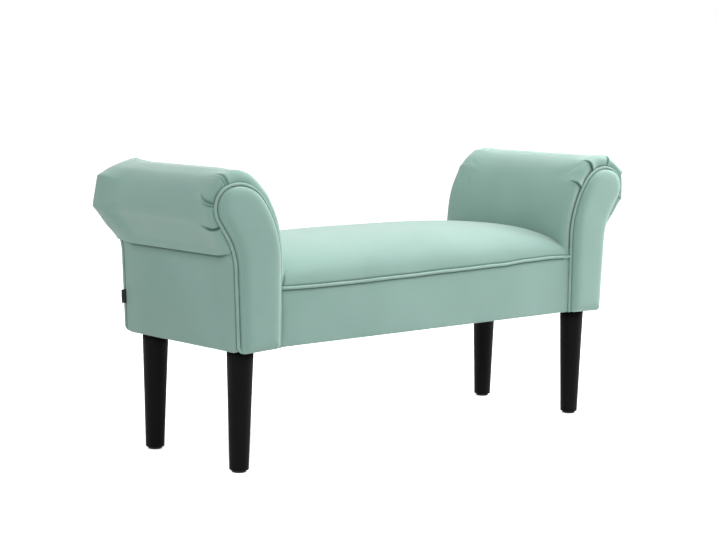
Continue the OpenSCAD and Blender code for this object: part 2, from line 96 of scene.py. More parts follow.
def smooth_step(low: float, high: float, value: float) -> float:
    """Rises evenly from 0 at low to 1 at high, with soft ends."""
    t = min(1.0, max(0.0, (value - low) / (high - low)))
    return t * t * (3.0 - 2.0 * t)


def bell(distance: float, width: float) -> float:
    """Falls softly from 1 at no distance to about a third at the width."""
    return math.exp(-((distance / width) ** 2))


def spread(start: float, stop: float, count: int) -> list[float]:
    """Gives count + 1 evenly spaced values from start to stop."""
    return [start + (stop - start) * k / count for k in range(count + 1)]


def bend(centre: Pair, radius: float, start: float, stop: float, count: int) -> list[Pair]:
    """Gives count + 1 points of an arc from one angle in degrees to another.

    Args:
        centre: the arc's centre.
        radius: its radius.
        start: the angle of its first point.
        stop: the angle of its last point.
        count: how many steps it has.

    Returns:
        The points, in order.
    """
    return [
        (centre[0] + radius * math.cos(a), centre[1] + radius * math.sin(a))
        for a in map(math.radians, spread(start, stop, count))]


def look_up(table: Sequence[Pair], place: float) -> float:
    """Reads a table of places and values, with a soft step from each row to the next.

    Args:
        table: the rows, by rising place.
        place: the place to read at.

    Returns:
        The value there.
    """
    for (a, low), (b, high) in zip(table, table[1:]):
        if place <= b:
            return low + (high - low) * smooth_step(a, b, place)
    return table[-1][1]


def show(name: str, data: bpy.types.ID) -> bpy.types.Object:
    """Adds an object with its data to the scene and returns it.

    Args:
        name: the object's name.
        data: its mesh, lamp or camera.

    Returns:
        The object.
    """
    shown = bpy.data.objects.new(name, data)
    bpy.context.scene.collection.objects.link(shown)
    return shown


# Materials


class Sketch:
    """Short calls that fill one node tree."""

    def __init__(self, tree: bpy.types.NodeTree) -> None:
        """Keeps the tree that the nodes go into."""
        self.tree = tree

    def fill(self, node: bpy.types.Node, inputs: dict) -> bpy.types.Node:
        """Writes plain values into a node's inputs, by name or number, and links sockets.

        Args:
            node: the node to fill.
            inputs: values or sockets by input.

        Returns:
            The same node.
        """
        for key, value in inputs.items():
            if isinstance(value, Socket):
                self.tree.links.new(value, node.inputs[key])
            else:
                node.inputs[key].default_value = value
        return node

    def add(self, kind: str, inputs: dict | None = None, **settings: object) -> bpy.types.Node:
        """Adds a node.

        Args:
            kind: the node's type name.
            inputs: values or sockets by input name or number.
            settings: the node's own properties.

        Returns:
            The new node.
        """
        node = self.tree.nodes.new(kind)
        for name, value in settings.items():
            setattr(node, name, value)
        return self.fill(node, inputs or {})

    def math(self, operation: str, *values: object) -> Socket:
        """Adds a Math node on two or three values and returns its result."""
        return self.add("ShaderNodeMath", dict(enumerate(values)), operation=operation).outputs[0]

    def mix(self, share: object, first: object, second: object) -> Socket:
        """Mixes two colours by a share and returns the result."""
        inputs = {0: share, 6: first, 7: second}
        return self.add("ShaderNodeMix", inputs, data_type="RGBA").outputs[2]

    def ramp(
        self, value: Socket, low: float, high: float, first: float = 0.0, last: float = 1.0
    ) -> Socket:
        """Stretches the part of a value between low and high to the range from first to last.

        Args:
            value: the value to stretch.
            low: where the range starts.
            high: where it ends.
            first: what low becomes.
            last: what high becomes.

        Returns:
            The stretched value.
        """
        inputs = {
            "Value": value, "From Min": low, "From Max": high, "To Min": first, "To Max": last}
        return self.add("ShaderNodeMapRange", inputs).outputs[0]

    def noise(
        self, where: Socket, scale: object, detail: float, **others: float
    ) -> bpy.types.bpy_prop_collection:
        """Adds a noise texture and returns its outputs."""
        inputs = {"Vector": where, "Scale": scale, "Detail": detail, **others}
        return self.add("ShaderNodeTexNoise", inputs).outputs

    def stretch(self, where: Socket, factors: Triple) -> Socket:
        """Multiplies a place by a factor along each axis."""
        return self.add(
            "ShaderNodeVectorMath", {0: where, 1: factors}, operation="MULTIPLY").outputs[0]


class Effect(Enum):
    """The surface effects that several finishes share, each a node group built once."""

    NAP = "Velvet nap"
    WEAVE = "Plain weave"
    GRAIN = "Wood grain"
    MARKS = "Handling marks"


class EffectLibrary:
    """Builds each effect's node group the first time that a finish asks for it.

    A group takes a place and two scales, and gives a mask and a height.
    """

    def __init__(self) -> None:
        """Starts with no group built."""
        self.built: dict[Effect, bpy.types.NodeTree] = {}

    def group(self, effect: Effect) -> bpy.types.NodeTree:
        """Gives an effect's node group, and builds it if it is new.

        Args:
            effect: the effect that is wanted.

        Returns:
            Its node group.
        """
        if effect not in self.built:
            fill, scales, mask = {
                Effect.NAP: (self._nap, {"Brush": 11.0, "Pile": 1400.0}, "Shade"),
                Effect.WEAVE: (self._weave, {"Threads": 900.0, "Slub": 40.0}, "Threads"),
                Effect.GRAIN: (self._grain, {"Rings": 60.0, "Pores": 700.0}, "Grain"),
                Effect.MARKS: (self._marks, {"Smears": 25.0, "Scratches": 350.0}, "Marks"),
            }[effect]
            tree = bpy.data.node_groups.new(effect.value, "ShaderNodeTree")
            tree.interface.new_socket("Vector", in_out="INPUT", socket_type="NodeSocketVector")
            for scale, value in scales.items():
                socket = tree.interface.new_socket(
                    scale, in_out="INPUT", socket_type="NodeSocketFloat")
                socket.default_value = value
            for output in (mask, "Height"):
                tree.interface.new_socket(output, in_out="OUTPUT", socket_type="NodeSocketFloat")
            sketch = Sketch(tree)
            source, result = sketch.add("NodeGroupInput"), sketch.add("NodeGroupOutput")
            made = fill(sketch, *(source.outputs[k] for k in range(3)))
            sketch.fill(result, dict(enumerate(made)))
            self.built[effect] = tree
        return self.built[effect]

    @staticmethod
    def _nap(sketch: Sketch, where: Socket, brush: Socket, pile: Socket) -> Sockets:
        """Short pile: broad brushed patches in the shade, and a fine nap in the height.

        Args:
            sketch: the effect's node group.
            where: the place on the piece.
            brush: the scale of the patches.
            pile: the scale of the nap.

        Returns:
            The mask and the height.
        """
        broad = sketch.noise(where, brush, 3.0, Roughness=0.45, Distortion=0.6)["Fac"]
        nap = sketch.noise(where, pile, 2.0, Roughness=0.6)["Fac"]
        shade = sketch.ramp(broad, 0.32, 0.68)
        mottled = sketch.math("MULTIPLY_ADD", nap, 0.3, sketch.math("MULTIPLY", shade, 0.7))
        return mottled, sketch.math("MULTIPLY_ADD", shade, 0.35, nap)

    @staticmethod
    def _weave(sketch: Sketch, where: Socket, threads: Socket, slub: Socket) -> Sockets:
        """Threads over and under each other, with uneven thickness.

        Args:
            sketch: the effect's node group.
            where: the place on the piece.
            threads: how many threads there are in a metre.
            slub: the scale of the unevenness.

        Returns:
            The mask and the height.
        """
        parts = sketch.add("ShaderNodeSeparateXYZ", {0: where})
        turn = sketch.math("MULTIPLY", threads, math.pi)
        waves = [
            sketch.math("ABSOLUTE", sketch.math("SINE", sketch.math("MULTIPLY", part, turn)))
            for part in parts.outputs]
        over = sketch.math("MAXIMUM", waves[0], sketch.math("MAXIMUM", waves[1], waves[2]))
        uneven = sketch.ramp(sketch.noise(where, slub, 4.0)["Fac"], 0.1, 0.8)
        mixed = sketch.math("MULTIPLY", over, uneven)
        return mixed, mixed

    @staticmethod
    def _grain(sketch: Sketch, where: Socket, rings: Socket, pores: Socket) -> Sockets:
        """Growth rings seen lengthwise, broken by fine pores.

        Args:
            sketch: the effect's node group.
            where: the place on the piece.
            rings: the scale of the rings.
            pores: the scale of the pores.

        Returns:
            The mask and the height.
        """
        warp = sketch.noise(where, 9.0, 3.0)["Color"]
        bent = sketch.add(
            "ShaderNodeVectorMath", {0: warp, 1: (0.03, 0.03, 0.03), 2: where},
            operation="MULTIPLY_ADD")
        bands = sketch.add(
            "ShaderNodeTexWave",
            {"Vector": bent.outputs[0], "Scale": rings, "Distortion": 1.5, "Detail": 2.0,
             "Detail Scale": 1.5},
            wave_type="BANDS", bands_direction="Z")
        fine = sketch.noise(sketch.stretch(where, (0.06, 1.0, 1.0)), pores, 3.0)["Fac"]
        grain = sketch.math(
            "MULTIPLY_ADD", bands.outputs["Fac"], 0.6, sketch.math("MULTIPLY", fine, 0.4))
        return grain, fine

    @staticmethod
    def _marks(sketch: Sketch, where: Socket, smears: Socket, scratches: Socket) -> Sockets:
        """Faint smears and hairline scratches that change the gloss.

        Args:
            sketch: the effect's node group.
            where: the place on the piece.
            smears: the scale of the smears.
            scratches: the scale of the scratches.

        Returns:
            The mask and the height.
        """
        broad = sketch.noise(where, smears, 5.0)["Fac"]
        fine = sketch.noise(sketch.stretch(where, (1.0, 1.0, 0.04)), scratches, 2.0)["Fac"]
        marks = sketch.math("MULTIPLY_ADD", fine, 0.35, sketch.math("MULTIPLY", broad, 0.65))
        return marks, fine


EFFECTS = EffectLibrary()


@dataclass(frozen=True)
class Finish:
    """One material of the bench.

    The colour runs between dark and light by the effect's mask, and so does the roughness between
    its two values. scales are the effect's, shader holds the shader's other values, and
    crease_shade is the dark colour of the shade painted into the folds, grooves and seams.
    """

    name: str
    slot: str
    dark: Triple
    light: Triple
    effect: Effect
    scales: tuple[tuple[str, float], ...]
    bump: float
    bump_depth: float
    roughness: Pair
    shader: tuple[tuple[str, object], ...] = ()
    crease_shade: Triple | None = None

    def material(self) -> bpy.types.Material:
        """Gives the finish's material, and builds it the first time.

        Returns:
            The material.
        """
        known = bpy.data.materials.get(self.name)
        if known:
            return known
        made = bpy.data.materials.new(self.name)
        made.use_nodes = True
        made.diffuse_color = linear(self.light)
        sketch = Sketch(made.node_tree)
        where = sketch.add("ShaderNodeTexCoord").outputs["Object"]
        effect = sketch.add(
            "ShaderNodeGroup", {"Vector": where, **dict(self.scales)},
            node_tree=EFFECTS.group(self.effect)).outputs
        colour = sketch.mix(effect[0], linear(self.dark), linear(self.light))
        # Painted shade: where the crease_shade attribute is set, the colour is mixed towards the
        # crease_shade colour, as the shade in folds, grooves and seams.
        if self.crease_shade:
            fold = sketch.add("ShaderNodeAttribute", attribute_name="crease_shade")
            colour = sketch.mix(fold.outputs["Fac"], colour, linear(self.crease_shade))
        low, high = self.roughness
        rough = low if low == high else sketch.ramp(effect[0], 0.0, 1.0, low, high)
        bump = sketch.add(
            "ShaderNodeBump",
            {"Strength": self.bump, "Distance": self.bump_depth, "Height": effect["Height"]})
        sketch.fill(
            made.node_tree.nodes["Principled BSDF"],
            {"Base Color": colour, "Roughness": rough, "Normal": bump.outputs[0],
             **dict(self.shader)})
        return made


SHEEN = (
    ("Sheen Weight", 0.45), ("Sheen Roughness", 0.5), ("Sheen Tint", (1.0, 1.0, 1.0, 1.0)),
    ("Specular IOR Level", 0.05))
VELVET = Finish(
    "sage_velvet", "velvet", (0.532, 0.662, 0.622), (0.570, 0.700, 0.660), Effect.NAP,
    (("Brush", 7.0), ("Pile", 1400.0)), 0.12, 0.0006, (0.85, 0.85), SHEEN,
    # crease_shade: the greener dark colour painted into folds, grooves and seams as their shade.
    crease_shade=(0.21, 0.37, 0.31))
PIPING = Finish(
    "sage_velvet_piping", "velvet_piping", (0.556, 0.682, 0.642), (0.598, 0.724, 0.684),
    Effect.NAP, (("Brush", 60.0), ("Pile", 1600.0)), 0.15, 0.0005, (0.85, 0.85), SHEEN)
LACQUER = Finish(
    "satin_lacquer", "black_lacquer", (0.022, 0.022, 0.025), (0.032, 0.032, 0.036),
    Effect.MARKS, (("Smears", 22.0), ("Scratches", 420.0)), 0.05, 0.0003, (0.52, 0.62),
    (("Specular IOR Level", 0.08),))
PLASTIC = Finish(
    "matte_pad", "black_plastic", (0.03, 0.03, 0.03), (0.05, 0.05, 0.05), Effect.MARKS,
    (("Smears", 80.0), ("Scratches", 500.0)), 0.1, 0.0003, (0.5, 0.65))
PINE = Finish(
    "sawn_pine", "frame_wood", (0.72, 0.56, 0.36), (0.86, 0.73, 0.53), Effect.GRAIN,
    (("Rings", 55.0), ("Pores", 600.0)), 0.3, 0.0005, (0.6, 0.75))
PLYWOOD = Finish(
    "poplar_plywood", "plywood", (0.7, 0.57, 0.4), (0.83, 0.71, 0.54), Effect.GRAIN,
    (("Rings", 25.0), ("Pores", 900.0)), 0.2, 0.0003, (0.55, 0.7))
FIBREBOARD = Finish(
    "thin_fibreboard", "fibreboard", (0.46, 0.34, 0.23), (0.56, 0.43, 0.3), Effect.GRAIN,
    (("Rings", 4.0), ("Pores", 1500.0)), 0.15, 0.0002, (0.6, 0.7))
DUST_CLOTH = Finish(
    "black_dust_cloth", "dust_cloth", (0.07, 0.07, 0.075), (0.15, 0.15, 0.155), Effect.WEAVE,
    (("Threads", 420.0), ("Slub", 90.0)), 0.4, 0.0003, (0.85, 0.95))
STEEL = Finish(
    "bright_zinc", "zinc_steel", (0.62, 0.63, 0.66), (0.8, 0.8, 0.82), Effect.MARKS,
    (("Smears", 120.0), ("Scratches", 900.0)), 0.1, 0.0002, (0.25, 0.42),
    (("Metallic", 1.0),))
TAPE = Finish(
    "bare_tape", "tag_tape", (0.13, 0.14, 0.14), (0.26, 0.27, 0.27), Effect.WEAVE,
    (("Threads", 1100.0), ("Slub", 200.0)), 0.4, 0.0002, (0.75, 0.85))

# What the inner pieces' names hold, and their finish. The first that fits counts.
INNER_FINISHES: tuple[tuple[str, Finish], ...] = (
    ("skin_board", FIBREBOARD), ("_board", PLYWOOD), ("deck", PLYWOOD), ("bolts", STEEL),
    ("washers", STEEL), ("t_nuts", STEEL), ("", PINE))


# Meshes


class Builder:
    """Turns a bmesh into a named piece that rides on the frame."""

    CLOTH_FRAMES = 20
    SMOOTHING_PASSES = 6

    @staticmethod
    def grid(
        columns: Sequence[float], rows: Sequence[float], place: Place, flip: bool = False
    ) -> bmesh.types.BMesh:
        """Lays a grid and moves its vertices where a formula says.

        Args:
            columns: the values along the grid's first direction.
            rows: the values along its second direction.
            place: gives the point for a column's and a row's value.
            flip: whether its faces are turned over.

        Returns:
            The open sheet.
        """
        mesh = bmesh.new()
        across, along = len(columns) - 1, len(rows) - 1
        bmesh.ops.create_grid(mesh, x_segments=across, y_segments=along, size=0.5)
        for vert in mesh.verts:
            column = round((vert.co.x + 0.5) * across)
            row = round((vert.co.y + 0.5) * along)
            vert.co = place(columns[column], rows[row])
        if flip:
            bmesh.ops.reverse_faces(mesh, faces=mesh.faces)
        return mesh

    @staticmethod
    def clean(mesh: bmesh.types.BMesh) -> None:
        """Merges doubled vertices and turns the faces outwards."""
        bmesh.ops.remove_doubles(mesh, verts=mesh.verts, dist=1e-6)
        bmesh.ops.recalc_face_normals(mesh, faces=mesh.faces)

    @staticmethod
    def finish(
        mesh: bmesh.types.BMesh, name: str, finish: Finish, replaces: Sequence[str] = (),
        smooth: bool = True,
    ) -> bpy.types.Object:
        """Makes the piece's object and fixes it to the frame.

        Args:
            mesh: the shape, in its place.
            name: the piece's name.
            finish: its material.
            replaces: the CAD nodes that it stands for.
            smooth: whether its faces shade smoothly.

        Returns:
            The piece.
        """
        for face in mesh.faces:
            face.smooth = smooth
        data = bpy.data.meshes.new(name)
        mesh.to_mesh(data)
        mesh.free()
        data.materials.append(finish.material())
        piece = show(name, data)
        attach(piece, "root")
        if replaces:
            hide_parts(*replaces)
        log.info("%s: %d faces", name, len(data.polygons))
        return piece

    @classmethod
    def settle(
        cls, piece: bpy.types.Object, across: int, held: Callable[[int, int], bool],
        pressure: float, cap: float,
    ) -> None:
        """Lets a sheet settle as cloth over its padding, and keeps how far it swells.

        Args:
            piece: the sheet, as its grid was laid.
            across: how many vertices the grid has in each row.
            held: tells whether the vertex of a column and a row is sewn or stapled down.
            pressure: how hard the padding pushes.
            cap: the furthest that a point may move out or in.
        """
        start = [(vert.co.copy(), vert.normal.copy()) for vert in piece.data.vertices]
        work = show("settling", piece.data.copy())
        sewn = work.vertex_groups.new(name="sewn")
        sewn.add([n for n in range(len(start)) if held(n % across, n // across)], 1.0, "REPLACE")
        cloth = work.modifiers.new("Cloth", "CLOTH")
        cloth.settings.quality = 4
        cloth.settings.vertex_group_mass = "sewn"
        cloth.settings.use_pressure = True
        cloth.settings.uniform_pressure_force = pressure
        cloth.settings.effector_weights.gravity = 0.0
        cloth.collision_settings.use_collision = False
        for moment in range(1, cls.CLOTH_FRAMES + 1):
            bpy.context.scene.frame_set(moment)
        settled = work.evaluated_get(bpy.context.evaluated_depsgraph_get()).to_mesh()
        swell = [
            (after.co - before).dot(normal)
            for (before, normal), after in zip(start, settled.vertices)]
        furthest = max(map(abs, swell))
        swell = [cap * math.tanh(height / cap) for height in swell]
        last = len(swell) - across
        for _ in range(cls.SMOOTHING_PASSES):
            swell = [
                0.5 * height + 0.125 * (
                    swell[n - 1 if n % across else n] + swell[n + 1 if (n + 1) % across else n]
                    + swell[n - across if n >= across else n]
                    + swell[n + across if n < last else n])
                for n, height in enumerate(swell)]
        for vert, (_, normal), height in zip(piece.data.vertices, start, swell):
            vert.co += normal * height
        shell = work.data
        bpy.data.objects.remove(work)
        bpy.data.meshes.remove(shell)
        bpy.context.scene.frame_set(1)
        log.info("%s: settled, furthest move %.1f mm before the cap", piece.name, furthest * 1000)

    @staticmethod
    def crease_shade(piece: bpy.types.Object, shade: Callable[[Vector], float]) -> None:
        """Writes how much of a fold's shadow lies on each vertex, from 0 to 1."""
        # Painted shade: these values go into the crease_shade attribute, which darkens the
        # material's colour.
        layer = piece.data.attributes.new("crease_shade", "FLOAT", "POINT")
        layer.data.foreach_set("value", [max(0.0, shade(v.co)) for v in piece.data.vertices])

    @staticmethod
    def solidify(piece: bpy.types.Object, thickness: float, outward: float = -1.0) -> None:
        """Gives a sheet its thickness, by default on its inner side.

        Args:
            piece: the sheet.
            thickness: how thick it becomes.
            outward: which side grows, from -1 inside to 1 outside.
        """
        wall = piece.modifiers.new("Thickness", "SOLIDIFY")
        wall.thickness = thickness
        wall.offset = outward

    @classmethod
    def cord(cls, path: Sequence[Vector], radius: float, name: str) -> bpy.types.Object:
        """Sweeps the velvet piping along a path.

        Args:
            path: the points that its middle follows.
            radius: the cord's radius.
            name: the CAD node that it stands for.

        Returns:
            The piece, as a mesh.
        """
        curve = bpy.data.curves.new(name + "_path", "CURVE")
        curve.dimensions = "3D"
        curve.bevel_depth = radius
        curve.bevel_resolution = 4
        curve.use_fill_caps = True
        spline = curve.splines.new("POLY")
        spline.points.add(len(path) - 1)
        for point, place in zip(spline.points, path):
            point.co = (*place, 1.0)
        holder = bpy.data.objects.new(name + "_path", curve)
        data = bpy.data.meshes.new_from_object(holder)
        mesh = bmesh.new()
        mesh.from_mesh(data)
        bpy.data.objects.remove(holder)
        bpy.data.curves.remove(curve)
        bpy.data.meshes.remove(data)
        cls.clean(mesh)
        return cls.finish(mesh, name + "_cord", PIPING, [name])


# The arm's outline


class Station(NamedTuple):
    """A place on the arm's outline: the point, the outward direction and the padding there."""

    x: float
    z: float
    out_x: float
    out_z: float
    pad: float

    def moved(self, distance: float) -> Pair:
        """Gives the point at a distance outwards."""
        return self.x + self.out_x * distance, self.z + self.out_z * distance

    def towards(self, other: "Station", share: float) -> "Station":
        """Gives the station at a share of the way to another."""
        return Station(*(a + (b - a) * share for a, b in zip(self, other)))


@dataclass
class ArmOutline:
    """The piping line of an arm, with the same sizes as the CAD source, in metres and degrees.

    It runs up the inner side, over the roll and down the outer side.
    """

    bench_length: float = 1.030
    underside: float = 0.211
    body_h: float = 0.299
    arm_w: float = 0.087
    scroll_rise: float = 0.136
    flare_r: float = 0.175
    shoulder_r: float = 0.066
    nose_r: float = 0.036
    nose_start: float = 70.0
    under_slope: float = 35.0
    hollow_r: float = 0.110
    wall_lean: float = 3.0
    seam_angle: float = 13.5
    crest_angle: float = 97.0
    crest_pad: float = 0.0247
    nose_pad: float = 0.011
    chin_pad: float = 0.013
    inner_pad: float = 0.025
    under_pad: float = 0.009
    seam_pad: float = 0.005
    pad_blend: float = 0.010
    low: float = 0.200
    step: float = 0.0005
    pads: tuple[Pair, ...] = (
        (-35.0, 0.009), (-15.0, 0.013), (15.0, 0.011), (75.0, 0.017), (97.0, 0.0247),
        (130.0, 0.025), (180.0, 0.025))
    stations: list[Station] = field(default_factory=list)
    found: dict[Pair, float] = field(default_factory=dict)

    def __post_init__(self) -> None:
        """Works out the centres of the outline's arcs and samples it."""
        turn, slope = math.radians(self.nose_start), math.radians(self.under_slope)
        lean = math.radians(self.wall_lean)
        shoulder_z = self.underside + self.body_h - (
            self.shoulder_r + self.crest_pad) * math.sin(math.radians(self.crest_angle))
        flare_z = shoulder_z + self.shoulder_r - self.scroll_rise
        run = self.flare_r - math.sqrt(
            (self.flare_r - self.shoulder_r) ** 2 - (shoulder_z - flare_z) ** 2)
        nose_run = run + (self.shoulder_r - self.nose_r) * math.cos(turn)
        self.inner_x = (
            self.bench_length / 2 - nose_run - self.nose_r - (self.nose_pad + self.chin_pad) / 2)
        self.base_x = self.inner_x + self.arm_w
        flare = (self.inner_x + self.flare_r, flare_z)
        shoulder = (self.inner_x + run, shoulder_z)
        nose = (
            self.inner_x + nose_run, shoulder_z + (self.shoulder_r - self.nose_r) * math.sin(turn))
        slant = (
            nose[0] + self.nose_r * math.cos(slope), nose[1] - self.nose_r * math.sin(slope))
        slant_len = (
            (slant[0] - self.base_x - (slant[1] - self.underside) * math.tan(lean))
            / (math.sin(slope) - math.cos(slope) * math.tan(lean))
            - self.hollow_r * math.tan((slope - lean) / 2))
        end = (slant[0] - slant_len * math.sin(slope), slant[1] - slant_len * math.cos(slope))
        hollow_x = end[0] + self.hollow_r * math.cos(slope)
        hollow_z = end[1] - self.hollow_r * math.sin(slope)
        flare_end = math.degrees(math.atan2(shoulder_z - flare_z, shoulder[0] - flare[0]))
        raw = [
            *self._straight(
                (self.inner_x, self.low), (self.inner_x, flare_z), 180.0, self.inner_pad),
            *self._arc(flare, self.flare_r, 180.0, flare_end),
            *self._arc(shoulder, self.shoulder_r, flare_end, self.nose_start),
            *self._arc(nose, self.nose_r, self.nose_start, -self.under_slope),
            *self._straight(slant, end, -self.under_slope, self.under_pad)]
        for a in spread(slope, lean, round(self.hollow_r * (slope - lean) / self.step)):
            share = min(1.0, (slope - a) / (slope - math.radians(self.seam_angle)))
            raw.append(Station(
                hollow_x - self.hollow_r * math.cos(a), hollow_z + self.hollow_r * math.sin(a),
                math.cos(a), -math.sin(a),
                self.under_pad + (self.seam_pad - self.under_pad) * share))
        raw += self._straight(
            raw[-1][:2], (self.wall_x(self.low), self.low), -self.wall_lean, self.seam_pad)
        self.stations = self._even(raw)
        self.length = self.step * (len(self.stations) - 1)

    def wall_x(self, z: float) -> float:
        """Gives the outer side's place at a height below the hollow."""
        return self.base_x + (z - self.underside) * math.tan(math.radians(self.wall_lean))

    def _arc(self, centre: Pair, radius: float, start: float, stop: float) -> list[Station]:
        """Gives an arc's stations.

        Args:
            centre: the arc's centre.
            radius: its radius.
            start: the angle that it starts at.
            stop: the angle that it ends at.

        Returns:
            The stations, in order.
        """
        count = max(2, round(radius * abs(math.radians(stop - start)) / self.step))
        return [
            Station(
                centre[0] + radius * math.cos(a), centre[1] + radius * math.sin(a),
                math.cos(a), math.sin(a), look_up(self.pads, angle))
            for angle in spread(start, stop, count) for a in [math.radians(angle)]]

    def _straight(self, start: Pair, stop: Pair, angle: float, pad: float) -> list[Station]:
        """Gives a straight's stations, which face one way and have the same padding.

        Args:
            start: its first point.
            stop: its last point.
            angle: the direction outwards.
            pad: the padding on it.

        Returns:
            The stations, in order.
        """
        count = max(2, round(math.dist(start, stop) / self.step))
        out = math.cos(math.radians(angle)), math.sin(math.radians(angle))
        first, last = Station(*start, *out, pad), Station(*stop, *out, pad)
        return [first.towards(last, share) for share in spread(0.0, 1.0, count)]

    def _even(self, raw: list[Station]) -> list[Station]:
        """Samples the outline at even steps and smooths its padding along it.

        Args:
            raw: the stations of all arcs and straights.

        Returns:
            The stations, one at each step.
        """
        marks = list(accumulate(
            (math.dist(a[:2], b[:2]) for a, b in zip(raw, raw[1:])), initial=0.0))
        even: list[Station] = []
        k = 0
        for n in range(int(marks[-1] / self.step) + 1):
            s = n * self.step
            while k < len(raw) - 2 and marks[k + 1] < s:
                k += 1
            gap = marks[k + 1] - marks[k]
            here = raw[k].towards(
                raw[k + 1], min(1.0, max(0.0, (s - marks[k]) / gap)) if gap else 0.0)
            out = Vector((here.out_x, here.out_z)).normalized()
            even.append(here._replace(out_x=out.x, out_z=out.y))
        reach = round(self.pad_blend / self.step)
        total = list(accumulate((station.pad for station in even), initial=0.0))
        smoothed = []
        for n, station in enumerate(even):
            low, high = max(0, n - reach), min(len(even), n + reach + 1)
            smoothed.append(station._replace(pad=(total[high] - total[low]) / (high - low)))
        return smoothed

    def at(self, s: float) -> Station:
        """Gives the station at a distance along the outline.

        Args:
            s: the distance along the outline.

        Returns:
            The station there.
        """
        place = min(len(self.stations) - 1.001, max(0.0, s / self.step))
        k = int(place)
        return self.stations[k].towards(self.stations[k + 1], place - k)

    def nearest(self, x: float, z: float) -> float:
        """Gives the distance along the outline of the station that is nearest to a point.

        Args:
            x: the point's x.
            z: the point's z.

        Returns:
            The distance along the outline.
        """
        if (x, z) not in self.found:
            self.found[x, z] = self.step * min(
                range(len(self.stations)),
                key=lambda n: (self.stations[n].x - x) ** 2 + (self.stations[n].z - z) ** 2)
        return self.found[x, z]

    def inner_at(self, z: float) -> float:
        """Gives the distance along the outline at a height on the straight inner side."""
        return z - self.low

    def outer_at(self, z: float) -> float:
        """Gives the distance along the outline at a height on the straight outer side."""
        return self.length - (z - self.low) / math.cos(math.radians(self.wall_lean))


OUTLINE = ArmOutline()


# Upholstery


@dataclass(frozen=True)
class Pleat:
    """A fold sewn into the seam at an arm's end.

    root is where it leaves the piping and tip where it dies away, as x and z in the right-hand
    arm's outline. reach is its length on the cloth, side says towards which end of the outline its
    lip lies, curl bends its line, rise is how far the roll stands out there, pull is how straight
    the cloth is from there to the next pleat, and dark is how strong the shade painted along its
    fold is.
    """

    root: Pair
    tip: Pair
    reach: float
    depth: float
    lip: float
    side: int
    curl: float = 2.0
    rise: float = 0.0042
    pull: float = 0.6
    dark: float = 1.0

    def line(self, away: float) -> float:
        """Gives the fold's place along the outline at a distance from the piping."""
        start, stop = OUTLINE.nearest(*self.root), OUTLINE.nearest(*self.tip)
        return start + (stop - start) * min(1.4, away / self.reach) ** self.curl

    def strength(self, away: float) -> float:
        """Gives how much of the fold is left at a distance from the piping, from 1 to 0."""
        return max(0.0, 1.0 - (away / self.reach) ** 2) ** 1.3


LEFT_FRONT = (
    Pleat((0.399, 0.453), (0.408, 0.462), 0.024, 0.001, 0.0006, 1, rise=0.001, pull=0.2, dark=0.2),
    Pleat((0.428, 0.480), (0.434, 0.486), 0.026, 0.0014, 0.0008, 1, rise=0.0, pull=0.2, dark=0.3),
    Pleat((0.4745, 0.4855), (0.4755, 0.4850), 0.038, 0.0016, 0.0018, -1, 1.0, 0.001, 0.2, 0.35),
    Pleat((0.4815, 0.4818), (0.4835, 0.4805), 0.046, 0.0034, 0.0020, 1, 1.0, 0.001, 0.3, 0.8),
    Pleat((0.505, 0.455), (0.499, 0.468), 0.040, 0.0048, 0.0034, 1, 2.2, 0.003, 0.3, 0.9),
    Pleat((0.5052, 0.4495), (0.504, 0.455), 0.026, 0.0030, 0.0020, 1, 1.5, 0.0, 0.5, 0.5),
    Pleat((0.493, 0.415), (0.4985, 0.4225), 0.047, 0.0040, 0.0034, 1, 1.5, 0.003, 0.6))
LEFT_REAR = (
    Pleat((0.399, 0.453), (0.404, 0.458), 0.032, 0.0010, 0.0006, -1, 2.0, 0.0010, 0.3, 0.0),
    Pleat((0.446, 0.4855), (0.449, 0.4855), 0.034, 0.0008, 0.0004, -1, 2.0, 0.0022, 0.6, 0.0),
    Pleat((0.496, 0.469), (0.494, 0.471), 0.040, 0.0008, 0.0004, -1, 2.0, 0.0068, 0.7, 0.0),
    Pleat((0.502, 0.438), (0.502, 0.441), 0.042, 0.0012, 0.0008, 1, 2.0, 0.0080, 0.85, 0.0))
RIGHT_FRONT = (
    Pleat((0.396, 0.448), (0.396, 0.4485), 0.027, 0.0040, 0.0032, 1, 1.3, 0.0010, 0.3, 0.9),
    Pleat((0.4268, 0.4782), (0.4262, 0.4778), 0.027, 0.0042, 0.0034, 1, 1.3, 0.0010, 0.3, 0.9),
    Pleat((0.467, 0.484), (0.470, 0.484), 0.034, 0.0026, 0.0014, 1, 2.0, 0.0028, 0.6, 0.4),
    Pleat((0.500, 0.466), (0.499, 0.468), 0.038, 0.0036, 0.0026, -1, 2.0, 0.0070, 0.7, 0.5),
    Pleat((0.5005, 0.429), (0.5005, 0.432), 0.038, 0.0014, 0.0008, -1, 2.0, 0.0078, 0.8, 0.4))
RIGHT_REAR = (
    Pleat((0.401, 0.455), (0.408, 0.460), 0.032, 0.0018, 0.0010, -1, 2.0, 0.0020, 0.0, 0.2),
    Pleat((0.430, 0.481), (0.437, 0.484), 0.036, 0.0018, 0.0010, -1, 2.0, 0.0010, 0.0, 0.2),
    Pleat((0.470, 0.484), (0.473, 0.483), 0.040, 0.0030, 0.0018, 1, 2.0, 0.0015, 0.4, 0.5),
    Pleat((0.500, 0.466), (0.498, 0.470), 0.038, 0.0030, 0.0018, 1, 2.0, 0.0050, 0.5, 0.5),
    Pleat((0.500, 0.430), (0.501, 0.437), 0.040, 0.0034, 0.0018, 1, 2.0, 0.0050, 0.7, 0.6))


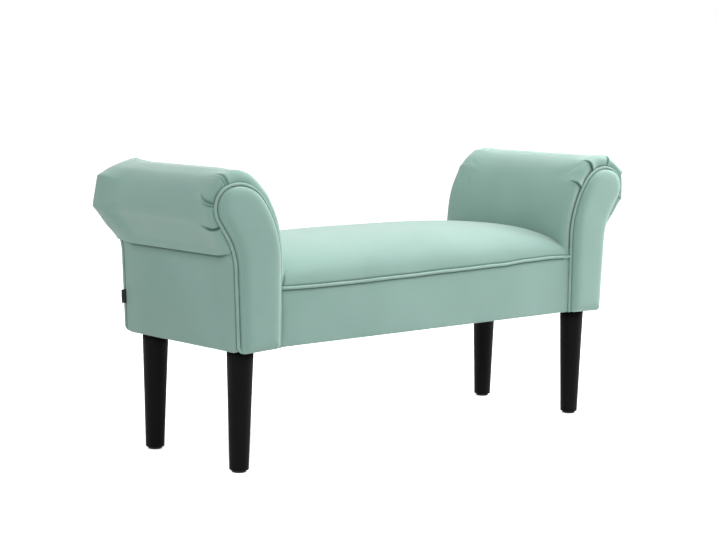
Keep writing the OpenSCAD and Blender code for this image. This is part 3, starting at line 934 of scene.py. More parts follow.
@dataclass(frozen=True)
class ArmEnd:
    """How the padding rolls over to the piping at one end of an arm, and its pleats.

    reach is the length of the roll-over, bulge how far the cloth stands out there, square how full
    its corner is, from 1 for a round one down to a square one, shadow how strong the shade painted
    along the seam by the piping is, and inner, beside and outer what the padding is thicker by on
    the roll's inner side, beside the seat and on the outer side.
    """

    pleats: tuple[Pleat, ...]
    reach: float
    bulge: float
    square: float
    shadow: float
    inner: float = 0.0
    outer: float = 0.0
    beside: float = 0.0


ENDS: dict[tuple[Side, Face], ArmEnd] = {
    (Side.LEFT, Face.FRONT): ArmEnd(
        LEFT_FRONT, 0.016, 0.0020, 0.95, 0.6, inner=-0.0075, beside=-0.0110),
    (Side.LEFT, Face.REAR): ArmEnd(LEFT_REAR, 0.012, 0.0100, 0.70, 0.1, outer=0.0045),
    (Side.RIGHT, Face.FRONT): ArmEnd(
        RIGHT_FRONT, 0.014, 0.0060, 0.85, 0.5, inner=-0.0020, outer=0.0035, beside=-0.0020),
    (Side.RIGHT, Face.REAR): ArmEnd(RIGHT_REAR, 0.012, 0.0090, 0.70, 0.3, inner=0.0045)}


@dataclass(frozen=True)
class Row:
    """One row of a wrap's cloth across the bench's depth.

    share is how full the padding is there, away the distance on the cloth from the nearer piping,
    and end the arm's end that it is nearer to.
    """

    y: float
    share: float
    away: float
    end: ArmEnd


@dataclass
class Upholstery:
    """Sizes that the seat and the arms share, in metres."""

    pipe_r: float = 0.00275
    pipe_y: float = 0.157
    face_y: float = 0.15425
    groove: float = 0.0012
    draw_in: float = 0.012
    crown: float = 0.013
    crown_power: float = 0.58
    facing_drop: float = 0.003
    underside: float = 0.211
    seat_line: float = 0.316
    hem: float = 0.018
    hem_r: float = 0.003
    cloth_t: float = 0.0015
    turned: tuple[float, ...] = (1.2, 1.4, 1.6, 1.8, 2.0, 3.0)

    @property
    def wrap_y(self) -> float:
        """Where the wrap dives down beside the piping, from the middle of the depth."""
        return self.face_y - self.groove

    def share(self, y: float) -> float:
        """How full the wrap is at a place across the depth, from 0 at the piping to 1.

        Args:
            y: the place across the depth.

        Returns:
            The share of the padding.
        """
        full_y = self.face_y - self.draw_in
        past = min(1.0, max(0.0, (abs(y) - full_y) / (self.wrap_y - full_y)))
        return math.sqrt(1.0 - past ** 2)

    def hem_point(self, row: float) -> Pair:
        """Gives how far back and down a turned edge has gone at a row between 1 and 2."""
        a = math.radians(90.0 * (row - 1.0))
        return self.hem_r * (1 - math.cos(a)), self.hem_r * math.sin(a)


COMMON = Upholstery()


@dataclass
class RolledArm:
    """One arm: the pleated wrap, the outer panel, two crowned facings and their piping.

    Points are x and z in the right-hand arm's outline. A fade is where a soft step starts and
    ends, or only where it ends.
    """

    side: Side
    columns: int = 290
    middle_rows: int = 30
    end_rows: int = 18
    fine_rows: int = 19
    fine_step: float = 0.002
    end_turn: float = 0.026
    cover_t: float = 0.0018
    lower_z: float = 0.305
    seam: Pair = (0.4640, 0.3702)
    seam_end: Pair = (0.4665, 0.3740)
    seam_climb: float = 0.044
    inner_corner: Pair = (0.3653, 0.372)
    crest: Pair = (0.449, 0.486)
    end_fade: Pair = (0.034, 0.074)
    puff: float = 0.0015
    puff_fade: Pair = (0.016, 0.046)
    puff_z: Pair = (0.34, 0.42)
    beside_z: Pair = (0.37, 0.43)
    inner_fade: Pair = (-0.050, 0.010)
    outer_fade: Pair = (-0.010, 0.040)
    seam_fade: float = 0.035
    lip: float = 0.0025
    lip_fade: float = 0.018
    lip_end_fade: float = 0.040
    corner_w: float = 0.008
    corner_share: float = 0.45
    pleat_edge: float = 0.0006
    pleat_fall: float = 0.0062
    pleat_dip: float = 0.008
    # Widths of the shade painted into the pleats' folds and along the seam by the piping.
    pleat_shade_w: float = 0.0013
    seam_shade_w: float = 0.0020
    crowding: float = 0.72
    crowding_reach: float = 0.006
    settle_pressure: float = 4.0
    settle_cap: float = 0.0009
    held_share: float = 0.7
    turn: tuple[Pair, ...] = (
        (0.0, 0.0), (0.0011, 0.0007), (0.0015, 0.0024), (0.0008, 0.0042), (-0.0016, 0.0050))
    panel_top: Pair = (0.4740, 0.3860)
    panel_fine_y: float = 0.140
    panel_out: float = 0.0020
    panel_round: float = 0.003
    panel_puff: float = 0.0008
    panel_wave: float = 0.0005
    panel_lift: float = 0.0085
    panel_corner: float = 0.010
    panel_puff_fade: float = 0.05
    panel_wave_fade: float = 0.03
    lip_drop: float = 0.0045
    lip_drop_fade: float = 0.02
    # Fade and width of the shadow painted on the outer panel under the wrap's lip and beside the
    # piping.
    shadow_fade: Pair = (0.010, 0.036)
    edge_shadow: float = 0.0014
    facing_round: float = 0.028
    facing_gap: float = 0.0007
    facing_wall: float = 0.0008
    facing_sag: float = 0.0022
    corner_r: float = 0.010
    foot_turn: float = 0.011

    @property
    def label(self) -> str:
        """The start of the arm's piece names."""
        return self.side.label + "_arm"

    def out(self, x: float, y: float, z: float) -> Vector:
        """Puts a point of the right-hand arm on this arm's side."""
        return Vector((x * self.side.value, y, z))

    def _rows(self) -> list[Row]:
        """Lists the wrap's rows across the depth, closer together towards the ends.

        Returns:
            The rows, from the front to the rear.
        """
        halves: dict[Face, list[Row]] = {}
        for face in Face:
            end = ENDS[self.side, face]
            full_y = COMMON.wrap_y - end.reach
            rows = []
            for t in spread(1.0, 0.0, self.end_rows):
                sine, cosine = math.sin(t * math.pi / 2), max(0.0, math.cos(t * math.pi / 2))
                y = full_y + end.reach * sine ** end.square + end.bulge * math.sin(t * math.pi)
                away = self.end_turn * (1 - t)
                rows.append(Row(y * face.value, cosine ** end.square, away, end))
            for k in range(1, self.fine_rows + 1):
                step = self.fine_step * k
                rows.append(Row((full_y - step) * face.value, 1.0, self.end_turn + step, end))
            halves[face] = rows
        front, rear = halves[Face.FRONT], halves[Face.REAR][::-1]
        middle = []
        for y in spread(front[-1].y, rear[0].y, self.middle_rows)[1:-1]:
            end = ENDS[self.side, Face.of(y)]
            middle.append(Row(y, 1.0, self.end_turn + COMMON.wrap_y - end.reach - abs(y), end))
        return front + middle + rear

    def _seam_at(self, y: float) -> float:
        """Gives the seam's place along the outline, which climbs a little at the arm's ends.

        Args:
            y: the place across the depth.

        Returns:
            The distance along the outline.
        """
        middle, end = OUTLINE.nearest(*self.seam), OUTLINE.nearest(*self.seam_end)
        climb = smooth_step(COMMON.face_y - self.seam_climb, COMMON.face_y, abs(y)) ** 1.4
        return middle + (end - middle) * climb

    def _padded(self, s: float, row: Row) -> Pair:
        """Gives the wrap's point with its padding, full at the pleats and pulled straight between.

        Args:
            s: the distance along the outline.
            row: the row across the depth.

        Returns:
            The point's x and z, for the right-hand arm.
        """
        seam, crest = self._seam_at(row.y), OUTLINE.nearest(*self.crest)
        base = OUTLINE.at(s)
        near = 1.0 - smooth_step(*self.end_fade, row.away)
        swell = self.puff * (1.0 - smooth_step(*self.puff_fade, row.away))
        swell *= smooth_step(*self.puff_z, base.z)
        high = smooth_step(*self.beside_z, base.z)
        inner = row.end.inner * high + row.end.beside * (1.0 - high)
        inner *= 1.0 - smooth_step(*self.inner_fade, s - crest)
        outer = row.end.outer * smooth_step(*self.outer_fade, s - crest)
        outer *= smooth_step(0.0, self.seam_fade, seam - s)
        swell += (inner + outer) * near
        x, z = base.moved(base.pad + swell)
        if near > 0.0:
            corners = [
                (OUTLINE.nearest(*self.inner_corner), 0.0, row.end.pleats[0].pull),
                *sorted((p.line(p.reach * self.corner_share), p.rise, p.pull)
                        for p in row.end.pleats),
                (seam, 0.0, 0.0)]
            rise = sum(r * bell(s - c, self.corner_w) for c, r, _ in corners)
            x, z = base.moved(base.pad + rise * near + swell)
            for (a, a_rise, pull), (b, b_rise, _) in zip(corners, corners[1:]):
                if a < s < b:
                    t = (s - a) / (b - a)
                    first, last = OUTLINE.at(a), OUTLINE.at(b)
                    ax, az = first.moved(first.pad + a_rise * near + swell)
                    bx, bz = last.moved(last.pad + b_rise * near + swell)
                    x += (ax + (bx - ax) * t - x) * pull * near
                    z += (az + (bz - az) * t - z) * pull * near
        lip = self.lip * (1.0 - smooth_step(0.0, self.lip_fade, seam - s))
        lip *= smooth_step(0.0, self.lip_end_fade, row.away)
        return (
            base.x + (x - base.x + base.out_x * lip) * row.share,
            base.z + (z - base.z + base.out_z * lip) * row.share)

    def _fold(self, s: float, row: Row) -> Pair:
        """Gives the pleats' height and darkness at a place.

        Args:
            s: the distance along the outline.
            row: the row across the depth.

        Returns:
            How far the cloth moves outwards, and how much painted shade of the pleats and the seam
            lies on it.
        """
        height, dark = 0.0, 0.0
        dip = smooth_step(0.0, self.pleat_dip, row.away)
        for pleat in row.end.pleats:
            left = pleat.strength(row.away)
            if left > 0.0:
                gap = (s - pleat.line(row.away)) * pleat.side
                over = 0.5 * (1 + math.tanh(gap / self.pleat_edge))
                fall = math.exp(-abs(gap) / self.pleat_fall)
                height += left * fall * (over * pleat.lip - (1 - over) * pleat.depth * dip)
                # Painted shade in the fold beside each pleat's lip, and along the seam by the
                # piping.
                shadow = bell(gap + self.pleat_edge, self.pleat_shade_w)
                dark = max(dark, min(1.0, 1.5 * left) * pleat.dark * shadow)
        return height, max(dark, row.end.shadow * bell(row.away, self.seam_shade_w))

    def wrap(self) -> bpy.types.Object:
        """Builds the padded wrap with its pleats and its turned lower edge.

        Returns:
            The piece.
        """
        lower = OUTLINE.inner_at(self.lower_z)
        rows = self._rows()
        shares = spread(0.0, 1.0, self.columns) + [float(k) for k in range(2, len(self.turn) + 1)]
        across = len(shares)

        def along(share: float, row: Row) -> float:
            """Gives a column's place on the outline, drawn towards the pleats' lines.

            Args:
                share: the column's value.
                row: the row.

            Returns:
                The distance along the outline.
            """
            s = lower + (self._seam_at(row.y) - lower) * min(1.0, share)
            for pleat in row.end.pleats:
                hold = min(1.0, 1.6 * pleat.strength(row.away * 0.8))
                gap = s - pleat.line(row.away)
                s -= gap * self.crowding * hold * bell(gap, self.crowding_reach)
            return s

        def place(share: float, number: float) -> Vector:
            """Gives the padded point, or a point of the edge that turns in under the lip.

            Args:
                share: the column's value.
                number: the row's number.

            Returns:
                The point.
            """
            row = rows[round(number)]
            s = along(share, row)
            down, back = self.turn[max(0, round(share - 1.0))]
            x, z = self._padded(s, row)
            here = OUTLINE.at(s)
            return self.out(
                x - here.out_x * back * row.share + here.out_z * down, row.y,
                z - here.out_z * back * row.share - here.out_x * down)

        def held(column: int, row: int) -> bool:
            """Tells whether the sheet is sewn or stapled down at a vertex."""
            sewn = rows[row].away < self.end_turn * self.held_share
            return sewn or column < 6 or column > self.columns - 4

        mesh = Builder.grid(
            shares, [float(n) for n in range(len(rows))], place, flip=self.side is Side.LEFT)
        piece = Builder.finish(
            mesh, self.label + "_wrap", VELVET, [self.label + "_cover", self.label + "_foam"])
        Builder.settle(piece, across, held, self.settle_pressure, self.settle_cap)
        mesh = bmesh.new()
        mesh.from_mesh(piece.data)
        mesh.normal_update()
        # Painted shade: the pleats' folds, the seam by the piping and the lip's turned-under
        # columns go into the crease_shade layer.
        fold = mesh.verts.layers.float.new("crease_shade")
        for n, vert in enumerate(mesh.verts):
            column, row = n % across, rows[n // across]
            height, dark = self._fold(along(shares[column], row), row)
            vert[fold] = max(dark, 0.9 if column > self.columns else 0.0)
            vert.co += vert.normal * height
        mesh.to_mesh(piece.data)
        mesh.free()
        Builder.solidify(piece, self.cover_t)
        return piece

    def outer_panel(self) -> bpy.types.Object:
        """Builds the flat cloth panel under the wrap's seam, turned under the frame at its foot.

        Returns:
            The piece.
        """
        top = OUTLINE.nearest(*self.panel_top)
        foot = OUTLINE.outer_at(COMMON.underside - 0.0008)
        fine = self.panel_fine_y
        rows = spread(-COMMON.wrap_y, -fine, 9) + spread(-fine, fine, 36)[1:-1]
        rows += spread(fine, COMMON.wrap_y, 9)
        stops = spread(0.0, 1.0, 60) + list(COMMON.turned)

        def place(stop: float, y: float) -> Vector:
            """Gives a point of the panel, of its turned edge or of its hem.

            Args:
                stop: how far down the point lies, as a share.
                y: the place across the depth.

            Returns:
                The point.
            """
            if stop > 2.0:
                return self.out(OUTLINE.base_x - COMMON.hem, y, COMMON.underside - 0.0012)
            inward = COMMON.wrap_y - abs(y)
            edge = math.sqrt(min(1.0, inward / self.panel_round))
            puff = self.panel_puff * math.sin(math.pi * min(1.0, stop))
            wave = self.panel_wave * noise.noise(
                Vector((y * 9.0, stop * 1.7, self.side.value * 3.0)))
            out = (
                self.panel_out * edge + puff * smooth_step(0.0, self.panel_puff_fade, inward)
                + wave * smooth_step(0.0, self.panel_wave_fade, inward))
            corner = math.sqrt(min(1.0, (inward + 0.0002) / self.panel_corner))
            low = foot - self.panel_lift * (1.0 - corner)
            x, z = OUTLINE.at(top + (low - top) * min(1.0, stop)).moved(out)
            back, down = COMMON.hem_point(max(1.0, stop))
            return self.out(x - back, y, z - down)

        mesh = Builder.grid(stops, rows, place, flip=self.side is Side.LEFT)
        # Painted shade: the shadow under the wrap's lip and beside the piping goes into the
        # crease_shade layer.
        fold = mesh.verts.layers.float.new("crease_shade")
        for vert in mesh.verts:
            y = vert.co.y
            beside = COMMON.wrap_y - abs(y)
            drop = self.lip_drop * smooth_step(0.0, self.lip_drop_fade, beside)
            under = max(0.0, OUTLINE.at(self._seam_at(y)).z - drop - vert.co.z)
            full = smooth_step(*self.shadow_fade, beside)
            vert[fold] = max(
                (0.5 + 0.35 * full) * bell(under, 0.0012 + 0.0024 * full),
                0.35 * full * bell(under, 0.0095),
                ENDS[self.side, Face.of(y)].shadow * bell(beside, self.edge_shadow))
        piece = Builder.finish(
            mesh, self.label + "_side_panel", VELVET, [self.label + "_outer_panel"])
        Builder.solidify(piece, COMMON.cloth_t)
        return piece

    def _facing_ring(self, inset: float, depth: float, face: Face) -> list[Vector]:
        """Gives one closed ring of the facing.

        Args:
            inset: how far it lies inside the piping line.
            depth: how far it lies from the middle of the bench's depth.
            face: the front or the rear.

        Returns:
            The ring's points, in order.
        """
        low = COMMON.underside - COMMON.facing_drop - COMMON.pipe_r + inset
        corner = max(0.0015, self.corner_r - inset * 0.5)
        sag = self.facing_sag if face is Face.FRONT else 0.0
        left, right = OUTLINE.inner_x + inset, OUTLINE.wall_x(low + corner) - inset
        start, stop = OUTLINE.inner_at(low + corner), OUTLINE.outer_at(low + corner)
        ring = bend((left + corner, low + corner), corner, 270.0, 180.0, 8)
        ring += [OUTLINE.at(s).moved(-inset) for s in spread(start, stop, 170)[1:-1]]
        ring += bend((right - corner, low + corner), corner, 0.0, -90.0, 8)
        ring += [(x, low) for x in spread(right - corner, left + corner, 14)[1:-1]]
        return [
            self.out(x, depth * face.value, z - sag * smooth_step(left, right, x)
                     * (1.0 - smooth_step(low, low + 0.030, z)))
            for x, z in ring]

    def facing(self, face: Face) -> bpy.types.Object:
        """Builds the crowned pad inside the piping at one end of the arm.

        Args:
            face: the front or the rear.

        Returns:
            The piece.
        """
        start = COMMON.pipe_r + self.facing_gap
        crown_y = COMMON.face_y + self.facing_wall
        crown_h = COMMON.pipe_y + COMMON.crown - crown_y
        rings = [(start, COMMON.face_y - 0.002), (start, COMMON.face_y)]
        for a in map(math.radians, spread(0.0, 90.0, 20)):
            rings.append((
                start + self.facing_round * (1 - math.cos(a) ** COMMON.crown_power),
                crown_y + crown_h * math.sin(a) ** COMMON.crown_power))
        mesh = bmesh.new()
        # Painted shade: the facing's edge in the groove by the piping goes into the crease_shade
        # layer.
        fold = mesh.verts.layers.float.new("crease_shade")
        verts = [mesh.verts.new(point) for point in self._facing_ring(*rings[0], face)]
        edges = [mesh.edges.new((a, b)) for a, b in zip(verts, verts[1:] + verts[:1])]
        for vert in verts:
            vert[fold] = 1.0
        for inset, depth in rings[1:]:
            grown = bmesh.ops.extrude_edge_only(mesh, edges=edges)["geom"]
            edges = [g for g in grown if isinstance(g, bmesh.types.BMEdge)]
            order = {v: n for n, v in enumerate(verts)}
            fresh = {v for e in edges for v in e.verts}
            source = {
                v: other for v in fresh for e in v.link_edges
                if (other := e.other_vert(v)) in order}
            verts = sorted(fresh, key=lambda v: order[source[v]])
            for vert, point in zip(verts, self._facing_ring(inset, depth, face)):
                vert.co = point
                vert[fold] = 0.9 * bell(depth - COMMON.face_y, 0.0022)
        bmesh.ops.triangle_fill(mesh, edges=edges, use_beauty=True)
        bmesh.ops.recalc_face_normals(mesh, faces=mesh.faces)
        name = f"{self.label}_{face.label}_facing"
        piece = Builder.finish(mesh, name + "_pad", VELVET, [name])
        Builder.solidify(piece, COMMON.cloth_t)
        return piece

    def piping(self, face: Face) -> bpy.types.Object:
        """Builds the piping round one facing, turned in a little at its outer foot.

        Args:
            face: the front or the rear.

        Returns:
            The piece.
        """
        low = COMMON.underside - COMMON.facing_drop / 2
        foot = low + self.foot_turn
        stops = spread(OUTLINE.inner_at(low), OUTLINE.outer_at(foot), 260)
        path = [OUTLINE.at(s)[:2] for s in stops]
        path += bend(
            (OUTLINE.wall_x(foot) - self.foot_turn, foot), self.foot_turn, 0.0, -75.0, 12)[1:]
        return Builder.cord(
            [self.out(x, COMMON.pipe_y * face.value, z) for x, z in path], COMMON.pipe_r,
            f"{self.label}_{face.label}_piping")

    def build(self) -> None:
        """Builds the whole arm."""
        self.wrap()
        self.outer_panel()
        for face in Face:
            self.facing(face)
            self.piping(face)


@dataclass
class Seat:
    """The crowned seat cover, its piping, and the bands along the front and the back.

    sway holds the piping's height at places along the front. tucked holds how far the cover goes
    down beside an arm: a column's number past the end, and its share of the drop. sewn holds how
    far its sewn edge drops, and where it lies across the depth.
    """

    crown: float = 0.0675
    crown_fall: float = 0.22
    fall_power: float = 3.0
    corner_drop: float = 0.006
    corner_start: float = 0.9
    gap: float = 0.001
    press: float = 0.004
    side_pad: float = 0.025
    dome_power: float = 0.77
    cover_t: float = 0.002
    settle_pressure: float = 4.0
    settle_cap: float = 0.003
    sewn_rows: int = 5
    tucked_columns: int = 6
    tuck_h: float = 0.030
    tuck_slant: float = 0.0100
    tuck_in: float = 0.0025
    sway: tuple[Pair, ...] = (
        (-0.365, 0.3095), (-0.322, 0.3085), (-0.278, 0.3081), (-0.209, 0.3083), (-0.090, 0.3099),
        (0.035, 0.3122), (0.167, 0.3141), (0.249, 0.3177), (0.306, 0.3189), (0.365, 0.3175))
    tucked: tuple[Pair, ...] = ((0.2, 0.0006), (0.6, 0.0034), (1.0, 0.012), (1.3, 0.03))
    sewn: tuple[Pair, Pair] = ((0.0018, 0.1548), (0.012, 0.1530))
    over_piping: float = 0.0018
    lowest_z: float = 0.306
    tuck_drop: float = 2.2
    tuck_out: float = 0.0012
    tuck_fold: Pair = (0.0018, 0.0012)
    fold_w: float = 0.004
    fold_shift: float = -0.002
    # tuck_shade_w is the width of the shade painted into the tuck's fold.
    tuck_shade_w: float = 0.0011
    band_foot: float = 0.0015
    band_belly: float = 0.0009
    band_wave: float = 0.0006
    band_back: float = 0.0026

    def line(self, x: float, face: Face) -> float:
        """Gives the height of the seat's piping, which sways a little as it was sewn."""
        return look_up(self.sway, -x * face.value)

    def end_x(self, side: Side, y: float) -> float:
        """Gives how far the seat reaches towards an arm, a little into the padding.

        Args:
            side: the arm.
            y: the place across the depth.

        Returns:
            The distance from the bench's middle.
        """
        end = ENDS[side, Face.of(y)]
        near = 1.0 - smooth_step(0.024, 0.064, COMMON.wrap_y - abs(y))
        pad = (self.side_pad + end.beside * near) * COMMON.share(y)
        return OUTLINE.inner_x - max(COMMON.pipe_r, self.gap + pad - self.press)

    def rise(self, share: float) -> float:
        """Gives the crown's height above the piping at a share of the way to an arm.

        Args:
            share: the share of the way, from -1 to 1.

        Returns:
            The height.
        """
        fall = self.crown_fall * abs(share) ** self.fall_power
        last = max(0.0, (abs(share) - self.corner_start) / (1 - self.corner_start))
        return self.crown * (1 - fall) - self.corner_drop * last ** 2

    def tuck(self, point: Vector, width: float, shift: float = 0.0) -> float:
        """Gives how near a point lies to the tuck at the cover's front left corner, from 0 to 1.

        Args:
            point: a point of the cover.
            width: the tuck's half width.
            shift: how far its line is moved along the bench.

        Returns:
            1 on the tuck's line, which dies away upwards, and 0 elsewhere.
        """
        climb = (point.z - self.line(point.x, Face.FRONT)) / self.tuck_h
        if point.y > -0.120 or not 0.0 <= climb < 1.0:
            return 0.0
        middle = -self.end_x(Side.LEFT, point.y) + self.tuck_in + self.tuck_slant * climb + shift
        return bell(point.x - middle, width) * (1.0 - climb ** 2)

    def cover(self) -> bpy.types.Object:
        """Builds the seat cover, crowned in the middle and tucked down beside the arms.

        Returns:
            The piece.
        """
        inner = spread(-1.0, -0.965, 16) + spread(-0.965, 1.0, 118)[1:]
        past = [1.0 + over for over, _ in self.tucked]
        columns = [-column for column in reversed(past)] + inner + past
        drops = dict(self.tucked)
        rows = [-2.0, -1.0] + spread(0.0, 180.0, 84) + [181.0, 182.0]
        across = len(columns)

        def place(column: float, row: float) -> Vector:
            """Gives a point of the crown, or of the edge that is sewn in or tucked down.

            Args:
                column: the share of the way to an arm, or more where tucked.
                row: the angle over the crown, or beyond it where sewn in.

            Returns:
                The point.
            """
            share = max(-1.0, min(1.0, column))
            over = round(abs(column) - abs(share), 3)
            angle = math.radians(min(180.0, max(0.0, row)))
            cosine = math.cos(angle)
            y = -COMMON.pipe_y * math.copysign(abs(cosine) ** self.dome_power, cosine)
            x = share * self.end_x(Side.of(share), y)
            edge = smooth_step(0.0, COMMON.pipe_y, abs(y))
            base = self.line(x, Face.of(y)) * edge + COMMON.seat_line * (1 - edge)
            base += self.over_piping
            top = COMMON.seat_line + self.rise(share)
            z = base + (top - base) * abs(math.sin(angle)) ** self.dome_power
            if row < 0.0 or row > 180.0:
                drop, sewn_y = self.sewn[0 if row in (-1.0, 181.0) else 1]
                z -= drop
                y = math.copysign(sewn_y, y)
            if over:
                z = max(self.lowest_z, z - drops[over] * self.tuck_drop)
                x = math.copysign(abs(x) + self.tuck_out, x)
            return Vector((x, y, z))

        def held(column: int, row: int) -> bool:
            """Tells whether the cover is sewn or tucked down at a vertex."""
            sewn = min(row, len(rows) - 1 - row) < self.sewn_rows
            return sewn or min(column, across - 1 - column) < self.tucked_columns

        # Painted shade for the crease_shade attribute: the tuck's fold, the groove above the piping
        # and the gap beside the arms.
        def shade(point: Vector) -> float:
            """Gives the shadow in the tuck, above the piping and beside the arms.

            Args:
                point: a point of the cover.

            Returns:
                The shadow, from 0 to 1.
            """
            above = point.z - self.line(point.x, Face.of(point.y)) - 0.0022
            beside = abs(point.x) - self.end_x(Side.of(point.x), point.y)
            return max(
                0.9 * self.tuck(point, self.tuck_shade_w),
                0.9 * bell(above, 0.0018) * (abs(point.y) > 0.150),
                0.8 * smooth_step(-0.0055, -0.0015, beside))

        mesh = Builder.grid(columns, rows, place)
        piece = Builder.finish(mesh, "seat_cushion", VELVET, ["seat_cover", "seat_foam"])
        Builder.settle(piece, across, held, self.settle_pressure, self.settle_cap)
        inward, down = self.tuck_fold
        for vert in piece.data.vertices:
            vert.co.y += inward * self.tuck(vert.co, self.fold_w, self.fold_shift)
            vert.co.z -= down * self.tuck(vert.co, self.fold_w, self.fold_shift)
        Builder.crease_shade(piece, shade)
        Builder.solidify(piece, self.cover_t)
        return piece

    def band(self, face: Face) -> bpy.types.Object:
        """Builds the flat band between the piping and the underside, turned under at its foot.

        Args:
            face: the front or the rear.

        Returns:
            The piece.
        """
        reach = OUTLINE.inner_x - COMMON.pipe_r
        low = COMMON.underside - self.band_foot
        foot = low + COMMON.hem_r
        depth = COMMON.pipe_y - 0.0004
        columns = [-reach, -reach + 0.0015] + spread(-reach + 0.003, reach - 0.003, 148)
        columns += [reach - 0.0015, reach]
        rows = [0.0, 0.02] + spread(0.05, 1.0, 22) + list(COMMON.turned)

        def place(x: float, row: float) -> Vector:
            """Gives a point of the band, of its turned edge or of its hem.

            Args:
                x: the place along the bench.
                row: how far down the point lies, as a share.

            Returns:
                The point.
            """
            if row > 2.0:
                return Vector((x, (depth - COMMON.hem) * face.value, low))
            down = min(1.0, row)
            top = self.line(x, face) - 0.0016
            ends = smooth_step(0.0, 0.012, reach - abs(x))
            wave = self.band_wave * noise.noise(Vector((x * 11.0, down * 1.3, face.value * 2.0)))
            belly = (self.band_belly + wave) * math.sin(math.pi * down) * ends
            back, drop = COMMON.hem_point(max(1.0, row))
            y = depth + belly - self.band_back * max(0.0, 1.0 - down / 0.05) - back
            return Vector((x, y * face.value, top + (foot - top) * down - drop))

        # Painted shade for the crease_shade attribute: under the piping and beside the arms.
        def shade(point: Vector) -> float:
            """Gives the shadow under the piping and beside the arms.

            Args:
                point: a point of the band.

            Returns:
                The shadow, from 0 to 1.
            """
            return max(
                0.9 * bell(self.line(point.x, face) - 0.0030 - point.z, 0.0014),
                0.9 * bell(reach - abs(point.x), 0.0024))

        mesh = Builder.grid(columns, rows, place, flip=face is Face.FRONT)
        name = f"seat_{face.label}_band"
        piece = Builder.finish(mesh, name + "_cloth", VELVET, [name])
        Builder.crease_shade(piece, shade)
        Builder.solidify(piece, COMMON.cloth_t)
        return piece

    def piping(self, face: Face) -> bpy.types.Object:
        """Builds the piping between the cover and a band.

        Args:
            face: the front or the rear.

        Returns:
            The piece.
        """
        reach = OUTLINE.inner_x - COMMON.pipe_r * 0.6
        path = [
            Vector((x, COMMON.pipe_y * face.value, self.line(x, face)))
            for x in spread(-reach, reach, 160)]
        return Builder.cord(path, COMMON.pipe_r, f"seat_{face.label}_piping")

    def build(self) -> None:
        """Builds the whole seat."""
        self.cover()
        for face in Face:
            self.band(face)
            self.piping(face)


# Under the bench


@dataclass
class Legs:
    """Four turned and lacquered legs with a nail-on pad under each."""

    x: float = 0.418291
    y: float = 0.118
    top_z: float = 0.213
    top_d: float = 0.046
    foot_d: float = 0.033
    chamfer: float = 0.0015
    pad_h: float = 0.004
    pad_d: float = 0.025
    pad_edge: float = 0.0012
    segments: int = 64

    def _turn(self, mesh: bmesh.types.BMesh, profile: Sequence[Pair], x: float, y: float) -> None:
        """Spins a profile of radius and height about an upright axis at a place.

        Args:
            mesh: the mesh that takes the turned shape.
            profile: radius and height of each point.
            x: the axis's x.
            y: the axis's y.
        """
        verts = [mesh.verts.new((x + r, y, z)) for r, z in profile]
        edges = [mesh.edges.new(pair) for pair in zip(verts, verts[1:])]
        bmesh.ops.spin(
            mesh, geom=verts + edges, cent=(x, y, 0.0), axis=(0.0, 0.0, 1.0),
            angle=2 * math.pi, steps=self.segments, use_merge=True)
        Builder.clean(mesh)

    def build(self) -> None:
        """Builds the legs and their pads."""
        foot, rim, half, edge = self.foot_d / 2, self.chamfer, self.pad_d / 2, self.pad_edge
        wood = [(0.0, self.pad_h), (foot - rim, self.pad_h)]
        wood += bend((foot - rim, self.pad_h + rim), rim, -90.0, 0.0, 4)[1:]
        for share in spread(0.0, 1.0, 8)[1:]:
            wood.append((
                foot + (self.top_d / 2 - foot) * share,
                self.pad_h + rim + (self.top_z - self.pad_h - rim) * share))
        wood.append((0.0, self.top_z))
        plastic = [
            (0.0, 0.0), (half - edge, 0.0), (half - edge * 0.3, edge * 0.3), (half, edge),
            (half, self.pad_h), (0.0, self.pad_h)]
        pads = bmesh.new()
        for side, face in product(Side, Face):
            x, y = self.x * side.value, self.y * face.value
            name = f"{face.label}_{side.label}_leg"
            leg = bmesh.new()
            self._turn(leg, wood, x, y)
            Builder.finish(leg, name + "_turned", LACQUER, [name])
            self._turn(pads, plastic, x, y)
        Builder.finish(pads, "leg_pads", PLASTIC, ["leg_glides"])


